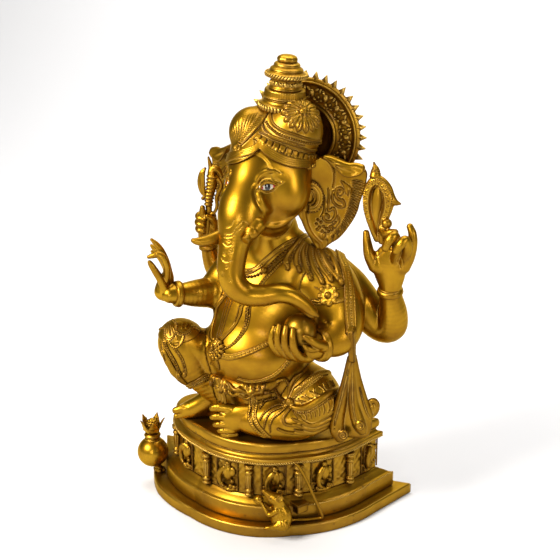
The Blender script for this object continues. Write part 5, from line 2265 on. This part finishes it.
form_piece("pot_leaf_spray", spray, GOLD, "pot_leaves", step=0.65, slot="ornament_brass")


# ---------------------------------------------------------------- mouse
MOUSE_FOOT = np.array((52.0, -79, 15.2))


def from_foot(x, y, z):
    """A place on the mouse, measured from under its body."""
    return MOUSE_FOOT + (x, y, z)


mouse = Form(ovoid(from_foot(4, 1, 14), (14.2, 12, 16.5)))
mouse.add(rod_between(from_foot, [(3, 2, 22, 11.6), (0.5, 1, 31, 9)]), 4)
mouse.add(ovoid(from_foot(-2, -1, 39.4), (9.6, 8.6, 8.2), (0, 30, 0)), 3)
mouse.add(rod_between(from_foot, [(-6, -2, 41, 6.8), (-12, -3, 45.6, 4.8), (-17, -4, 49.6, 3.0)]), 2)
mouse.add(ovoid(from_foot(-18.6, -4.4, 50), 1.9), 0.4)
# Ears and eye
mouse.add(hoop(from_foot(5.0, -6.4, 44.6), (0.5, -0.85, 0.1), 3.6, 1.3), 0.6)
mouse.add(disc(from_foot(5.0, -5.6, 44.6), (0.5, -0.85, 0.1), 3.6, 0.8), 0.4)
mouse.add(hoop(from_foot(0.6, 6.2, 45.4), (-0.3, 0.9, 0.1), 3.4, 1.3), 0.6)
mouse.add(ovoid(from_foot(-7.4, -7.6, 43.4), 1.7), 0.2)
mouse.cut(hoop(from_foot(-7.4, -8.0, 43.4), (-0.2, -1, 0.2), 2.3, 0.45), 0.3)
# Fore legs that hold the sweet, and the hind leg with its toes
mouse.add(rod_between(from_foot, [(1, -8, 27, 4.0), (-8, -10, 21, 3.0), (-15, -8, 28, 2.4),
                                  (-19, -7, 33, 2.0)]), 1.6)
mouse.add(rod_between(from_foot, [(-3, 2, 27, 3.4), (-11, 2, 24, 2.8), (-18, -1, 31, 2.0)]), 1.6)
mouse.add(rod_between(from_foot, [(8, -6, 8, 9.4), (2, -11, 6.6, 5.4), (-6, -12, 3.6, 3.2),
                                  (-11, -12, 2.8, 2.6)]), 2)
for k in range(3):
    toe = [(-9, -13.6 + 1.9 * k, 2.8, 1.3), (-13.6, -14.2 + 2.2 * k, 2.2, 0.9)]
    mouse.add(rod_between(from_foot, toe, 1), 0.4)
MOUSE = mouse.copy()
strokes = np.random.default_rng(4)
for _ in range(150):
    d = strokes.normal(size=3)
    if d[1] > 0.4:
        continue
    a = from_foot(4, 1, 15) + unit(d) * (14, 12, 18)
    b = a + (strokes.uniform(-1, 2), strokes.uniform(-0.5, 0.5), -4.2)
    p = on_surface(MOUSE, [a, (a + b) / 2, b], 0.1)[0]
    mouse.cut(reed(p, 0.55), 0.3)
ball = Form(ovoid(from_foot(-24, -5, 37), (6.4, 6.2, 6.2)))
for k in range(4):
    size = 6.2 * math.cos((k - 1.5) * 0.42)
    ball.cut(hoop(from_foot(-24, -5, 32.5 + 3 * k), (0.3, 0, 1), size, 0.5), 0.3)
mouse.add(ball, 0.5)
TAIL = [(60, -72, 19), (66, -62, 18.4), (82, -54, 17.6), (96, -46, 18), (100.5, -45, 20), (98, -47, 30),
        (90, -51, 52), (82, -54.5, 74), (73, -58, 93), (69.6, -60, 97)]
mouse.add(tube(spline(TAIL, 5)[:, :3], 2.0, 1), 1.5)
form_piece("mouse_cast", mouse, GOLD, "mouse", step=0.65, slot="ornament_brass")


# ---------------------------------------------------------------- CAD parts that stay
for node, finish in (("bottom_cover", PLINTH), ("cover_screws", IRON), ("figure_studs", IRON),
                     ("stud_nuts", IRON), ("halo_stud", ORNAMENT)):
    for ob in bpy.data.objects:
        if ob.type == "MESH" and ob.name.split(".")[0] == node:
            for part in ob.material_slots:
                part.material = finish
run_jobs()
